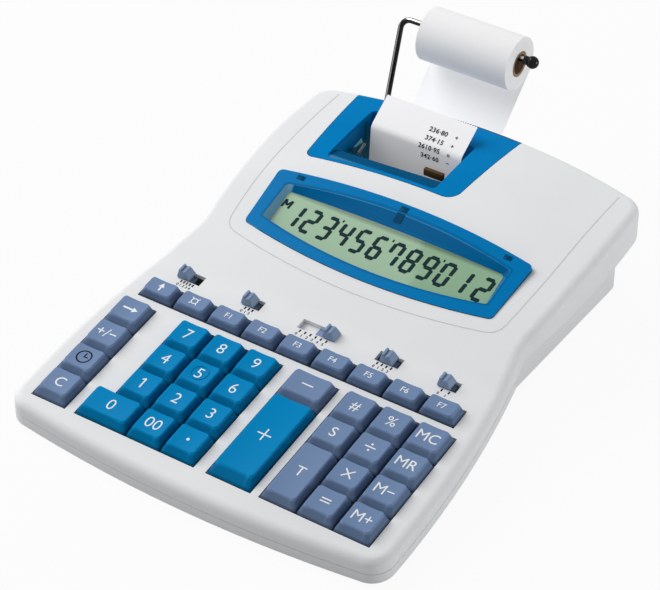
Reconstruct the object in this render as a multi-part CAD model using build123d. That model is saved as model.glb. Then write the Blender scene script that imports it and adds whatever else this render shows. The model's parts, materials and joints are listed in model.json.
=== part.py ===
from build123d import *
from math import atan2, cos, degrees, hypot, radians, sin, sqrt, tan
import os

# Desk calculator with a printer, built from front to back along +Y and upward along +Z.
# While it is built, y = 0 is the middle of the front edge; finished pieces move back by half
# the overall depth, so the exported origin is the middle of the footprint, on the desk.

# Case outline, top view, and wall
front_half_width = 111.0
front_bow = 7.5
front_corner_radius = 12.0
side_draw = 3.4
side_run = 53.5
waist_draw = 9.6
waist_radius = 30.0
hood_swell = 4.6
hood_run = 60.0
rear_draw = 2.1
rear_bow = 16.0
rear_corner_radius = 14.0
case_wall = 2.5
edge_round = 5.0

# Key deck and rear hood, side view
deck_tilt = 8.6
deck_front_height = 14.5
bend_run = 6.0
bend_radius = 60.0
display_tilt = 16.5
waist_run = 29.0
crest_run = 38.0
crown_run = 58.0
crown_rise = 12.19
rear_run = 65.0
rear_rise = 3.2

# Parting line and lower case
skirt_depth = 8.0
band_height = 5.6
band_end_gap = 7.0
band_corner_radius = 6.0
hood_edge_gap = 3.0
hood_edge_rise = 4.1
hood_edge_drop = 16.7
lower_wall = 2.2
slab_floor = 1.8
tub_inset = 8.0
tub_front_y = 34.0
tub_rear_gap = 16.5
tub_bottom = 5.5
tub_corner_radius = 8.0
flange_thickness = 2.0
case_gap = 0.3

# Keys: five columns fill each half of the deck; places across the deck are in columns
deck_margin = 7.0
columns_in_half = 5
left_column = -4.33
number_column = -2.56
zero_overhang = 0.485
add_column = 0.913
add_overhang = 0.25
right_column = 2.272
function_column = 1.0145
function_center = -0.031
row_pitch = 19.2
one_row = 43.2
key_gap = 0.5
key_margin = 0.5
function_gap = 21.2
function_depth = 11.8
function_height = 4.7
key_height = 4.3
key_skirt = 1.3
key_travel = 2.5
cap_wall = 1.5
cap_side_inset = 2.4
cap_front_inset = 4.1
cap_back_inset = 0.7
function_front_inset = 2.2
function_back_inset = 0.7
cap_corner = 1.4
dish_depth = 0.6
five_ring_radius = 4.6
five_ring_width = 0.7
five_ring_height = 0.5
pocket_depth = 4.6
pocket_floor = 1.4
pocket_wall = 1.2
stem_size = 5.0
stem_clearance = 0.35
stem_reach = 6.5
long_key = 1.3

# Mat and board under the keys
mat_clearance = 0.3
mat_thickness = 0.7
board_thickness = 1.3
board_side_gap = 14.0
board_front_run = 27.2
board_rear_run = 9.2

# Slide switches: center of each slot, its length, knob offset at rest and travel
switch_gap = 17.2
switch_columns = (-3.74, -1.875, 0.017, 2.05, 3.755)
switch_lengths = (13.0, 10.2, 21.6, 13.8, 9.8)
switch_rests = (-1.0, -1.0, 1.0, 0.0, -1.0)
switch_slot_depth = 6.7
switch_clearance = 0.35
knob_width = 8.0
knob_depth = 7.2
knob_height = 4.4
knob_taper = 1.2
knob_rib = 0.6
knob_neck_width = 5.0
knob_plate = 1.2

# Display frame and glass
window_gap = 2.6
window_sink = 0.11
window_tilt = 16.6
window_side_gap = 23.0
window_spread = 2.4
window_run = 36.3
window_bow = 7.5
window_thickness = 2.4
window_corner = 3.0
window_clearance = 0.2
rim_front = 6.9
rim_back = 7.0
rim_side = 6.5
rim_front_bow = 7.9
rim_back_bow = 8.5
rim_corner = 2.5
sight_front_gap = 9.6
sight_side_gap = 9.4
sight_front = -1.3
sight_back = 19.9
sight_front_bow = 7.9
sight_back_bow = 1.6
sight_corner = 2.0
sight_wall = 1.6
glass_tilt = 23.0
glass_sink = 2.3
glass_thickness = 2.8
glass_margin = 3.0
glass_clearance = 0.3

# Panel groove on the hood
groove_front_gap = 6.4
groove_side_gap = 7.5
groove_hood_gap = 15.4
groove_rear_gap = 16.0
groove_bow = 9.0
groove_corner = 6.0
groove_width = 0.6
groove_depth = 0.3

# Paper and printer cover
paper_width = 57.0
paper_thickness = 0.4
cover_side_gap = 23.5
cover_front_gap = 0.5
cover_bow = 0.0014
cover_border = 11.5
cover_spread = 5.6
cover_left_corner = 4.0
cover_right_corner = 8.0
cover_thickness = 2.0
cover_clearance = 0.4
cover_edge_drop = 8.0
cover_ledge = 3.0
cover_ledge_thickness = 2.0
window_side_room = 4.0
window_shift = 1.2
window_margin = 2.2
window_rear_run = 6.0
window_round = 3.0
lip_run = 12.0
lip_drop = 0.3
lip_thickness = 1.4

# Roll, arm and platen
roll_run = 27.0
roll_rise = 26.2
roll_radius = 15.2
core_wall = 1.6
arm_diameter = 3.2
arm_hang = 3.8
arm_side_gap = 17.8
arm_bend = 6.0
arm_rear_gap = 5.5
arm_reach = 5.5
arm_clearance = 0.3
arm_socket_wall = 2.4
arm_socket_length = 16.0
knob_ball = 7.0
knob_reach = 2.3
knob_neck = 2.5
knob_neck_diameter = 5.0
platen_rear_gap = 10.5
platen_rise = 16.5
platen_radius = 6.5
paper_gap = 0.35
crease_run = 4.4
crease_sink = 2.2
tear_run = 16.5
tear_rise = 11.2
crease_radius = 5.0
slot_height = 11.0
slot_rise = 1.9
slot_margin = 3.0

# Printer frame and carriage
frame_plate = 2.0
frame_gap = 3.0
frame_front_run = 28.0
frame_rear_run = 7.0
frame_sink = 13.2
axle_radius = 2.0
axle_clearance = 0.06
guide_radius = 2.0
guide_run = 19.0
guide_rise = 2.0
guide_clearance = 0.3
carriage_width = 14.0
carriage_front_gap = 4.0
carriage_height = 16.0
carriage_gap = 1.0
roller_gap = 1.0
gear_radius = 7.8
tooth_depth = 1.2
tooth_shares = (0.2, 0.36, 0.64, 0.8)
gear_gap = 0.5
gear_teeth = 22
gear_thickness = 2.4

# Fasteners, feet and inlet
screw_shank = 2.6
screw_head = 5.6
screw_head_height = 2.0
screw_length = 8.0
screw_clearance = 0.2
screw_grip = 3.0
screw_recess = 1.0
boss_radius = 3.1
lower_boss_radius = 4.2
front_screw_side_gap = 51.0
front_screw_y = 9.8
mid_screw_gap = 15.0
rear_screw_side_gap = 7.0
rear_screw_run = 20.5
foot_radius = 6.0
front_foot_side_gap = 27.0
front_foot_y = 24.0
rear_foot_side_gap = 20.0
inlet_side_gap = 34.0
inlet_rise = 12.5
inlet_bore = 5.5
inlet_pin = 2.0
inlet_depth = 9.0
inlet_wall = 1.8

# Places from front to back: the key rows carry the bend, the bend carries the hood
function_row = one_row + 2 * row_pitch + function_gap
switch_row = function_row + switch_gap
bend_y = switch_row + bend_run
waist_y = bend_y + waist_run
side_y = waist_y - side_run
hood_y = waist_y + hood_run
crest_y = bend_y + crest_run
crown_y = crest_y + crown_run
case_depth = crown_y + rear_run
rear_corner_y = case_depth - rear_bow
band_end_y = waist_y - band_end_gap
tub_rear_y = case_depth - tub_rear_gap
window_front_y = crest_y - window_gap
sight_front_y = window_front_y + sight_front_gap
groove_front_y = window_front_y - groove_front_gap
cover_front_y = crown_y + cover_front_gap
platen_y = tub_rear_y - platen_rear_gap
window_end_y = platen_y + window_rear_run
crease_y = platen_y - crease_run
tear_y = crease_y + tear_run
frame_front_y = platen_y - frame_front_run
frame_rear_y = platen_y + frame_rear_run
guide_y = platen_y - guide_run
carriage_front_y = frame_front_y + carriage_front_gap
roll_y = case_depth + roll_run
arm_upright_foot_y = case_depth + arm_rear_gap
overall_depth = roll_y + roll_radius
board_front = one_row - board_front_run
board_rear = function_row + board_rear_run

# Heights
deck_slope = tan(radians(deck_tilt))
display_slope = tan(radians(display_tilt))
bend_height = deck_front_height + bend_y * deck_slope
crest_height = bend_height + (crest_y - bend_y) * display_slope
crown_height = crest_height + crown_rise
rear_height = crown_height + rear_rise
band_end_top = deck_front_height + band_end_y * deck_slope - skirt_depth
hood_edge_front = (waist_y + hood_edge_gap, band_end_top + hood_edge_rise)
hood_edge_rear = (case_depth + hood_edge_gap, rear_height - hood_edge_drop)
window_front_height = crest_height - window_sink
glass_front_height = window_front_height - glass_sink
platen_z = tub_bottom + platen_rise
arm_leg_z = platen_z
guide_z = platen_z + guide_rise
frame_top_z = rear_height - frame_sink
crease_z = rear_height - crease_sink
tear_z = crease_z + tear_rise
roll_z = rear_height + roll_rise
wire_z = roll_z + arm_hang
inlet_z = tub_bottom + inlet_rise
tall = roll_z + roll_radius

# Places across: the front's width carries the other widths and the key columns
side_half_width = front_half_width - side_draw
waist_half_width = side_half_width - waist_draw
hood_half_width = waist_half_width + hood_swell
rear_half_width = hood_half_width - rear_draw
wide = 2 * front_half_width
tub_half_width = waist_half_width - tub_inset
board_half_width = front_half_width - board_side_gap
column_pitch = (front_half_width - deck_margin) / columns_in_half
key_width = column_pitch - key_gap
key_depth = row_pitch - key_gap
left_column_x = left_column * column_pitch
number_column_x = number_column * column_pitch
zero_width = key_width + zero_overhang * column_pitch
zero_x = number_column_x - zero_overhang * column_pitch / 2
add_column_x = add_column * column_pitch
add_width = key_width + add_overhang * column_pitch
right_column_x = right_column * column_pitch
function_pitch = function_column * column_pitch
function_center_x = function_center * column_pitch
switch_xs = [column * column_pitch for column in switch_columns]
window_front_half = waist_half_width - window_side_gap
window_back_half = window_front_half + window_spread
window_length = window_run / cos(radians(window_tilt))
rim_half = window_front_half - rim_side
sight_half = window_front_half - sight_side_gap
groove_front_half = window_front_half + groove_side_gap
groove_hood_half = hood_half_width - groove_hood_gap
groove_rear_half = hood_half_width - groove_rear_gap
window_half = paper_width / 2 + window_side_room
cover_front_half = window_half + cover_border
cover_rear_half = cover_front_half + cover_spread
cover_x = cover_rear_half + cover_side_gap - hood_half_width
paper_x = cover_x
window_x = cover_x - window_shift
paper_left = paper_x - paper_width / 2
paper_right = paper_x + paper_width / 2
arm_x = paper_left - arm_side_gap
core_bore = arm_hang + arm_diameter / 2 + arm_clearance
front_screw = (front_half_width - front_screw_side_gap, front_screw_y)
mid_screw = (waist_half_width - mid_screw_gap, waist_y - mid_screw_gap)
rear_screw = (tub_half_width - rear_screw_side_gap, tub_rear_y - rear_screw_run)
front_foot = (front_half_width - front_foot_side_gap, front_foot_y)
rear_foot = (tub_half_width - rear_foot_side_gap, tub_rear_y - rear_screw_run)
inlet_x = tub_half_width - inlet_side_gap

deck = Pos(0, 0, deck_front_height) * Rot(deck_tilt, 0, 0)
parts = {}


def add(name, *solids):
    """Keep one finished piece under its node name, moved to the exported origin."""
    moved = [Pos(0, -overall_depth / 2, 0) * solid for solid in solids]
    parts[name] = moved[0] if len(moved) == 1 else Compound(children=moved)


def mirrored(point):
    return (-point[0], point[1])


def round_at(face, points, radius):
    """Round the corners of a flat face that lie at the given points (in either half)."""
    near = [v for v in face.vertices() for p in points if hypot(abs(v.X) - p[0], v.Y - p[1]) < 0.01]
    return fillet(near, radius)


def across(points, half_width):
    """A side-view polygon in Y and Z, as a block from left to right."""
    return extrude(Plane.YZ * make_face(Polyline(*points, close=True)), half_width, both=True)


def upright(radius, low, high):
    """A round bar standing up."""
    return Pos(0, 0, low) * Cylinder(radius, high - low, align=(Align.CENTER, Align.CENTER, Align.MIN))


def along_depth(radius, front, back):
    """A round bar from front to back."""
    return Pos(0, front, 0) * Rot(-90, 0, 0) * upright(radius, 0, back - front)


def along_width(radius, left, right):
    """A round bar from left to right."""
    return Pos(left, 0, 0) * Rot(0, 90, 0) * upright(radius, 0, right - left)


def standing_box(width, depth, low, high):
    return Pos(0, 0, low) * Box(width, depth, high - low, align=(Align.CENTER, Align.CENTER, Align.MIN))


# Case outline and bodies

def plan_outline(inset=0.0):
    """The case seen from above, drawn in by a wall's thickness."""
    front = (front_half_width - inset, front_bow + inset)
    side = (side_half_width - inset, side_y)
    waist = (waist_half_width - inset, waist_y)
    hood = (hood_half_width - inset, hood_y)
    rear = (rear_half_width - inset, rear_corner_y - inset)
    face = make_face([
        ThreePointArc(mirrored(front), (0, inset), front),
        ThreePointArc(front, side, waist),
        ThreePointArc(waist, hood, rear),
        ThreePointArc(rear, (0, case_depth - inset), mirrored(rear)),
        ThreePointArc(mirrored(rear), mirrored(hood), mirrored(waist)),
        ThreePointArc(mirrored(waist), mirrored(side), mirrored(front)),
    ])
    face = round_at(face, [front], front_corner_radius - inset)
    face = round_at(face, [rear], rear_corner_radius - inset)
    return round_at(face, [waist], waist_radius + inset)


def top_profile():
    """Side view of everything under the deck and the hood's top."""
    before = -wide / 4
    behind = case_depth + edge_round
    rear_end = (behind, rear_height)
    line = Polyline((before, -tall), (before, deck_front_height + before * deck_slope),
                    (bend_y, bend_height), (crest_y, crest_height))
    crown = ThreePointArc((crest_y, crest_height), (crown_y, crown_height), rear_end)
    close = Polyline(rear_end, (behind, -tall), (before, -tall))
    face = make_face(Plane.YZ * (line + crown + close))
    bend = [v for v in face.vertices() if hypot(v.Y - bend_y, v.Z - bend_height) < 0.01]
    return fillet(bend, bend_radius)


def above(height):
    """Everything higher than a level."""
    return standing_box(4 * wide, 4 * wide, height, height + tall)


def case_body(inset, rounded=0.0):
    """The case's outer form, drawn in by a wall's thickness and reaching down to the desk."""
    under_top = extrude(Pos(0, 0, -inset) * profile_face, wide, both=True)
    body = under_top & extrude(plan_outline(inset), tall)
    if rounded:
        rim = [e for e in body.edges()
               if e.bounding_box().min.Z > edge_round and e.geom_type != GeomType.LINE]
        body = fillet(rim, rounded)
    return body


profile_face = top_profile()
outer_body = case_body(0, edge_round)
inner_body = case_body(case_wall, edge_round - case_wall)
split_front = (-wide / 4, deck_front_height - wide / 4 * deck_slope - skirt_depth)
split_line = [split_front, (band_end_y, band_end_top), hood_edge_front, hood_edge_rear]
above_split = across(split_line + [(hood_edge_rear[0], tall), (split_front[0], tall)], wide)


# Key grid: name, column center, row center, width, depth, cap height and front and back insets

def row(steps):
    return one_row + steps * row_pitch


def key_list():
    two_rows = key_depth + row_pitch
    three_rows = two_rows + row_pitch
    keys = []

    def put(name, x, v, width=key_width, depth=key_depth):
        keys.append((name, x, v, width, depth, key_height, cap_front_inset, cap_back_inset))

    left_names = ("key_backspace", "key_sign", "key_clock", "key_clear")
    for step, name in enumerate(left_names):
        put(name, left_column_x, row(2 - step))
    for digit in range(1, 10):
        column = (digit - 1) % 3
        put(f"key_{digit}", number_column_x + column * column_pitch, row((digit - 1) // 3))
    put("key_0", zero_x, row(-1), width=zero_width)
    put("key_00", number_column_x + column_pitch, row(-1))
    put("key_point", number_column_x + 2 * column_pitch, row(-1))
    put("key_minus", add_column_x, row(2), width=add_width)
    put("key_plus", add_column_x, row(0), width=add_width, depth=three_rows)
    right_names = (("key_number_mark", "key_percent", "key_memory_clear"),
                   ("key_subtotal", "key_divide", "key_memory_recall"),
                   (None, "key_times", "key_memory_minus"),
                   (None, "key_equals", "key_memory_plus"))
    for step, names in enumerate(right_names):
        for column, name in enumerate(names):
            if name:
                put(name, right_column_x + column * column_pitch, row(2 - step))
    put("key_total", right_column_x, row(-0.5), depth=two_rows)
    function_names = ["key_feed", "key_currency"] + [f"key_function_{n}" for n in range(1, 8)]
    for place, name in enumerate(function_names):
        x = function_center_x + (place - 4) * function_pitch
        keys.append((name, x, function_row, key_width, function_depth, function_height,
                     function_front_inset, function_back_inset))
    return keys


all_keys = key_list()


def pocket_sketch(grow):
    """Openings in the deck: neighbouring keys share one, so the key rectangles overlap."""
    reach = 2 * (key_margin + grow)
    return Sketch() + [Pos(x, v) * Rectangle(width + reach, depth + reach)
                       for _, x, v, width, depth, *_ in all_keys]


def stem_places(width, depth):
    """A small key has one stem and a long key has two."""
    if width > long_key * column_pitch:
        return [(-width / 4, 0), (width / 4, 0)]
    if depth > long_key * row_pitch:
        return [(0, -depth / 4), (0, depth / 4)]
    return [(0, 0)]


def rounded_box(width, depth, low, high, corner):
    return Pos(0, 0, low) * extrude(RectangleRounded(width, depth, corner), high - low)


def key_cap(width, depth, height, front_inset, back_inset):
    """A tapered hollow cap with a dished top, standing on its stem or stems."""
    top_depth = depth - front_inset - back_inset
    top_width = width - 2 * cap_side_inset
    top_v = (front_inset - back_inset) / 2
    base = RectangleRounded(width, depth, cap_corner)
    top = Pos(0, top_v, height) * RectangleRounded(top_width, top_depth, cap_corner)
    cap = loft([base, top]) + rounded_box(width, depth, -key_skirt, 0, cap_corner)
    dish_radius = (top_width ** 2 / 4 + dish_depth ** 2) / (2 * dish_depth)
    dish = Pos(0, 0, height - dish_depth + dish_radius) * along_depth(dish_radius, -depth, depth)
    cap -= dish
    roof = height - dish_depth - cap_wall
    inside_width = width - 2 * cap_wall
    inside_depth = depth - 2 * cap_wall
    floor_cut = Pos(0, 0, -key_skirt) * RectangleRounded(inside_width, inside_depth, cap_corner)
    roof_width = top_width - cap_wall
    roof_depth = top_depth - cap_wall
    roof_cut = Pos(0, top_v, roof) * RectangleRounded(roof_width, roof_depth, cap_corner / 2)
    cap -= loft([floor_cut, roof_cut])
    stem = rounded_box(stem_size, stem_size, -stem_reach, roof + cap_wall / 2, cap_corner / 2)
    return cap + [Pos(x, v, 0) * stem for x, v in stem_places(width, depth)]


def make_keys():
    for name, x, v, width, depth, height, front_inset, back_inset in all_keys:
        cap = key_cap(width, depth, height, front_inset, back_inset)
        if name == "key_5":
            ring_v = (front_inset - back_inset) / 2
            ring_low = height - dish_depth - cap_wall / 2
            ring_high = height - dish_depth + five_ring_height
            ring = upright(five_ring_radius, ring_low, ring_high)
            ring -= upright(five_ring_radius - five_ring_width, ring_low, ring_high)
            cap += Pos(0, ring_v, 0) * ring
        add(name, deck * (Pos(x, v, 0) * cap))


# Slide switches

def switch_knob():
    """A tapered grip with a rib, a neck through the slot and a plate under the deck."""
    base = Pos(0, 0, switch_clearance) * RectangleRounded(knob_width, knob_depth, cap_corner)
    top_width = knob_width - 2 * knob_taper
    top_depth = knob_depth - 2 * knob_taper
    top = Pos(0, 0, knob_height) * RectangleRounded(top_width, top_depth, cap_corner / 2)
    grip = loft([base, top])
    rib = rounded_box(2 * knob_rib, top_depth, knob_height - knob_rib, knob_height + knob_rib, knob_rib / 2)
    neck_low = -case_wall - 2 * switch_clearance
    neck_depth = switch_slot_depth - 2 * switch_clearance
    neck = rounded_box(knob_neck_width, neck_depth, neck_low, knob_height / 2, cap_corner / 2)
    plate_depth = switch_slot_depth + 2 * knob_plate
    plate = rounded_box(knob_width, plate_depth, neck_low - knob_plate, neck_low, cap_corner / 2)
    return grip + rib + neck + plate


def make_switches():
    for number, (x, length, rest) in enumerate(zip(switch_xs, switch_lengths, switch_rests), 1):
        free = (length - knob_neck_width) / 2 - switch_clearance
        add(f"switch_knob_{number}", deck * (Pos(x + rest * free, switch_row, 0) * switch_knob()))


# Display frame and glass

window_plane = Pos(0, window_front_y, window_front_height) * Rot(window_tilt, 0, 0)
glass_plane = Pos(0, sight_front_y, glass_front_height) * Rot(glass_tilt, 0, 0)


def barrel(front, back, bows, corner, grow):
    """An outline with straight ends whose long edges bow outward; front and back are (half width, place)."""
    near = (front[0] + grow, front[1] - grow)
    far = (back[0] + grow, back[1] + grow)
    face = make_face([
        ThreePointArc(mirrored(near), (0, near[1] - bows[0]), near),
        Line(near, far),
        ThreePointArc(far, (0, far[1] + bows[1]), mirrored(far)),
        Line(mirrored(far), mirrored(near)),
    ])
    return fillet(face.vertices(), corner)


def window_face(grow=0.0):
    """Outline of the display frame."""
    return barrel((window_front_half, 0), (window_back_half, window_length), (window_bow, window_bow),
                  window_corner, grow)


def rim_face(grow=0.0):
    """Inner edge of the frame's flat border."""
    return barrel((rim_half, rim_front), (rim_half, window_length - rim_back), (rim_front_bow, rim_back_bow),
                  rim_corner, grow)


def sight_face(grow=0.0):
    """What is seen of the glass, in the plane of the glass."""
    return barrel((sight_half, sight_front), (sight_half, sight_back), (sight_front_bow, sight_back_bow),
                  sight_corner, grow)


def funnel(grow):
    """The frame's inside, from the border down to the glass."""
    return loft([window_plane * rim_face(grow), glass_plane * sight_face(grow)])


def glass_block(grow):
    front = sight_front - sight_front_bow - glass_margin - grow
    back = sight_back + sight_back_bow + glass_margin + grow
    block = Box(2 * (sight_half + glass_margin + grow), back - front, glass_thickness + 2 * grow,
                align=(Align.CENTER, Align.MIN, Align.MAX))
    return glass_plane * (Pos(0, front, grow) * block)


def make_display():
    glass = glass_block(0)
    plate = window_plane * extrude(window_face(), -window_thickness)
    add("display_window", plate + funnel(sight_wall) - funnel(0) - glass)
    add("display_glass", glass)


# Printer cover

def cover_edge(x):
    """Front edge of the cover, parallel to the bowed back of the case."""
    return cover_front_y - cover_bow * x ** 2


def cover_outline(grow=0.0):
    left_front = cover_x - cover_front_half - grow
    right_front = cover_x + cover_front_half + grow
    left_rear = cover_x - cover_rear_half - grow
    right_rear = cover_x + cover_rear_half + grow
    end = case_depth + edge_round
    a = (left_front, cover_edge(left_front) - grow)
    b = (right_front, cover_edge(right_front) - grow)
    middle = ((a[0] + b[0]) / 2, cover_edge((a[0] + b[0]) / 2) - grow)
    face = make_face([
        ThreePointArc(a, middle, b),
        Line(b, (right_rear, end)),
        Line((right_rear, end), (left_rear, end)),
        Line((left_rear, end), a),
    ])
    left, right = sorted([v for v in face.vertices() if v.Y < end - 1], key=lambda v: v.X)
    face = fillet(left, cover_left_corner)
    right = [v for v in face.vertices() if hypot(v.X - b[0], v.Y - b[1]) < 0.01]
    return fillet(right, cover_right_corner)


def window_cut():
    """The paper's window, its front edge parallel to the cover's."""
    left = window_x - window_half
    right = window_x + window_half
    front_left = (left, cover_edge(left) + window_margin)
    front_right = (right, cover_edge(right) + window_margin)
    face = make_face([
        ThreePointArc(front_left, (window_x, cover_edge(window_x) + window_margin), front_right),
        Polyline(front_right, (right, window_end_y), (left, window_end_y), front_left),
    ])
    return fillet(face.vertices(), window_round)


def lip_slab():
    """A strip that runs back from under the cover's front edge into the window."""
    left = window_x - window_half
    right = window_x + window_half
    turn = atan2(cover_edge(right) - cover_edge(left), right - left)
    middle_y = (cover_edge(left) + cover_edge(right)) / 2
    top = crown_height - cover_thickness / 2
    low = top - lip_drop
    side = [(0, top), (2 * window_margin, top), (lip_run, low), (lip_run, low - lip_thickness),
            (0, top - lip_thickness)]
    return Pos(window_x, middle_y, 0) * Rot(0, 0, degrees(turn)) * across(side, window_half)


def make_cover():
    skin = outer_body - case_body(cover_thickness, edge_round - cover_thickness)
    cover = skin & extrude(cover_outline(), tall) & above(rear_height - cover_edge_drop)
    cover -= extrude(window_cut(), tall)
    cover += lip_slab() & extrude(cover_outline(-cover_clearance), tall)
    add("printer_cover", cover)


# Upper case

def lip_notch():
    """Room in the ledge for the strip behind the cover's front edge."""
    half = window_half + cover_clearance
    front = Pos(window_x, cover_edge(window_x)) * Rectangle(2 * half, 4 * window_half)
    return extrude(front & cover_outline(cover_clearance), tall)


def hood_groove():
    """A fine line round the display and the printer, cut to a steady depth."""
    end = case_depth + edge_round
    front = (groove_front_half, groove_front_y)
    rear = (groove_rear_half, end)
    def band(grow):
        a = (front[0] + grow, front[1] - grow)
        b = (rear[0] + grow, rear[1])
        side = (groove_hood_half + grow, hood_y)
        face = make_face([
            ThreePointArc(mirrored(a), (0, front[1] - groove_bow - grow), a),
            ThreePointArc(a, side, b),
            Line(b, mirrored(b)),
            ThreePointArc(mirrored(b), mirrored(side), mirrored(a)),
        ])
        return round_at(face, [a], groove_corner + grow)
    ring = extrude(band(groove_width / 2) - band(-groove_width / 2), tall)
    return ring - Pos(0, 0, -groove_depth) * outer_body


def upper_boss(place):
    """A post from the parting line up to the inside of the top, with its screw hole."""
    x, y = place
    low = screw_top(place)
    post = Pos(x, y, 0) * upright(boss_radius, low, tall)
    hole = Pos(x, y, 0) * upright((screw_shank + screw_clearance) / 2, low, low + screw_length)
    return (post & inner_body) - hole


def make_upper_case():
    case = (outer_body - inner_body) & above_split
    pockets = pocket_sketch(0)
    walls = pocket_sketch(pocket_wall)
    wall_height = pocket_depth + pocket_floor - case_wall / 2
    case += deck * (Pos(0, 0, -pocket_depth - pocket_floor) * extrude(walls, wall_height))
    case -= deck * (Pos(0, 0, -pocket_depth) * extrude(pockets, tall))
    guide = stem_size + 2 * stem_clearance
    holes = Sketch() + [Pos(x + stem_x, v + stem_v) * Rectangle(guide, guide)
                        for _, x, v, width, depth, *_ in all_keys
                        for stem_x, stem_v in stem_places(width, depth)]
    case -= deck * (Pos(0, 0, -pocket_depth) * extrude(holes, 2 * pocket_floor, both=True))
    slots = Sketch() + [Pos(x, switch_row) * Rectangle(length, switch_slot_depth)
                        for x, length in zip(switch_xs, switch_lengths)]
    case -= deck * extrude(slots, 4 * case_wall, both=True)
    under_window = window_plane * Pos(0, 0, -window_thickness)
    seat = under_window * extrude(window_face(window_clearance + case_wall), -case_wall)
    case += seat & inner_body
    case -= under_window * extrude(window_face(window_clearance), tall)
    case -= window_plane * extrude(rim_face(sight_wall + window_clearance), tall, both=True)
    case -= glass_block(glass_clearance)
    bed_depth = cover_thickness + cover_clearance
    bed = case_body(bed_depth, edge_round - bed_depth)
    opening_low = above(rear_height - cover_edge_drop - cover_clearance)
    case -= (extrude(cover_outline(cover_clearance), tall) - bed) & opening_low
    ledge = extrude(cover_outline(case_wall) - cover_outline(-cover_ledge), tall) & opening_low
    case += (ledge & bed) - case_body(bed_depth + cover_ledge_thickness)
    case -= extrude(cover_outline(-cover_ledge), tall) & opening_low
    case -= lip_notch() & opening_low
    case -= hood_groove()
    case += [upper_boss(place) for place in screw_places()]
    add("upper_case", case)


# Screws

def screw_places():
    places = []
    for x, y in (front_screw, mid_screw, rear_screw):
        places += [(x, y), (-x, y)]
    return places


def floor_height(place):
    """Inside of the lower case's floor under a screw: the sloped slab or the flat tub."""
    if place[1] < tub_front_y:
        return deck_front_height + place[1] * deck_slope - skirt_depth - band_height + slab_floor
    return tub_bottom + lower_wall


def screw_seat(place):
    """Face inside the lower boss that the screw's head pulls against."""
    return floor_height(place) + screw_recess


def screw_top(place):
    """Where the lower boss ends and the upper one begins."""
    return screw_seat(place) + screw_grip


def make_screws():
    group = []
    for place in screw_places():
        seat = screw_seat(place)
        head = upright(screw_head / 2, seat - screw_head_height, seat)
        shank = upright(screw_shank / 2, seat, seat + screw_length)
        group.append(Pos(*place, 0) * (head + shank))
    add("case_screws", *group)


# Lower case

def below_split(lift):
    """Everything under the parting line, raised or lowered by an amount."""
    edge = [(y, z + lift) for y, z in split_line]
    return across(edge + [(hood_edge_rear[0], -tall), (split_front[0], -tall)], wide)


def band_outline(inset):
    """The case's outline in front of the waist, with its back corners turned in."""
    end = band_end_y - inset
    in_front = Pos(0, end) * Rectangle(2 * wide, 2 * end, align=(Align.CENTER, Align.MAX))
    face = (plan_outline(inset) & in_front).face()
    back = [v for v in face.vertices() if abs(v.Y - end) < 0.01]
    return fillet(back, band_corner_radius - inset)


def tub_block(inset, low):
    depth = tub_rear_y - tub_front_y - 2 * inset
    plan = Pos(0, (tub_rear_y + tub_front_y) / 2) * RectangleRounded(
        2 * (tub_half_width - inset), depth, tub_corner_radius - inset)
    return Pos(0, 0, low) * extrude(plan, tall)


def make_lower_case():
    floor_front = (split_front[0], split_front[1] - band_height)
    floor_rear = (band_end_y, band_end_top - band_height)
    over_floor = across([floor_front, floor_rear, (band_end_y, tall), (split_front[0], tall)], wide)
    case = extrude(band_outline(0), tall) & over_floor & below_split(-case_gap)
    under_hood = Pos(0, hood_edge_front[0] + case_depth / 2, 0) * Box(2 * wide, case_depth, 2 * tall)
    flange = extrude(plan_outline(case_wall + case_gap), tall) & under_hood
    flange = (flange & below_split(flange_thickness)) - below_split(0)
    case += tub_block(0, tub_bottom) & below_split(flange_thickness)
    case += flange
    case -= extrude(band_outline(lower_wall), tall) & Pos(0, 0, slab_floor) * over_floor
    case -= tub_block(lower_wall, tub_bottom + lower_wall)
    for place in screw_places():
        boss = upright(lower_boss_radius, floor_height(place) - slab_floor / 2, screw_top(place))
        case += Pos(*place, 0) * boss
    hole = screw_shank / 2 + screw_clearance
    recess = screw_head / 2 + screw_clearance
    for place in screw_places():
        case -= Pos(*place, 0) * upright(hole, 0, screw_top(place))
        case -= Pos(*place, 0) * upright(recess, 0, screw_seat(place))
    wall_y = tub_rear_y - lower_wall / 2
    slot_width = paper_width + 2 * slot_margin
    case -= Pos(paper_x, wall_y, web_height(wall_y) + slot_rise) * Box(slot_width, 4 * lower_wall, slot_height)
    socket = along_depth(arm_diameter / 2 + arm_socket_wall, tub_rear_y - arm_socket_length, tub_rear_y)
    case += Pos(arm_x, 0, arm_leg_z) * socket
    arm_bore = arm_diameter / 2 + axle_clearance
    case -= Pos(arm_x, 0, arm_leg_z) * along_depth(arm_bore, tub_rear_y - arm_socket_length, case_depth)
    inlet = along_depth(inlet_bore / 2 + inlet_wall, tub_rear_y - inlet_depth - inlet_wall, tub_rear_y)
    inlet -= along_depth(inlet_bore / 2, tub_rear_y - inlet_depth, tub_rear_y)
    case -= Pos(inlet_x, 0, inlet_z) * along_depth(inlet_bore / 2, tub_rear_y - inlet_depth, case_depth)
    inlet += along_depth(inlet_pin / 2, tub_rear_y - inlet_depth - inlet_wall / 2, tub_rear_y - lower_wall)
    case += Pos(inlet_x, 0, inlet_z) * inlet
    add("lower_case", case)
    return case


def make_feet(case):
    group = []
    for x, y in (front_foot, mirrored(front_foot), rear_foot, mirrored(rear_foot)):
        pad = Pos(x, y, 0) * upright(foot_radius, 0, deck_front_height)
        group.append((pad - case).solids().sort_by(Axis.Z)[0])
    add("rubber_feet", *group)


# Mat and board

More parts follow.
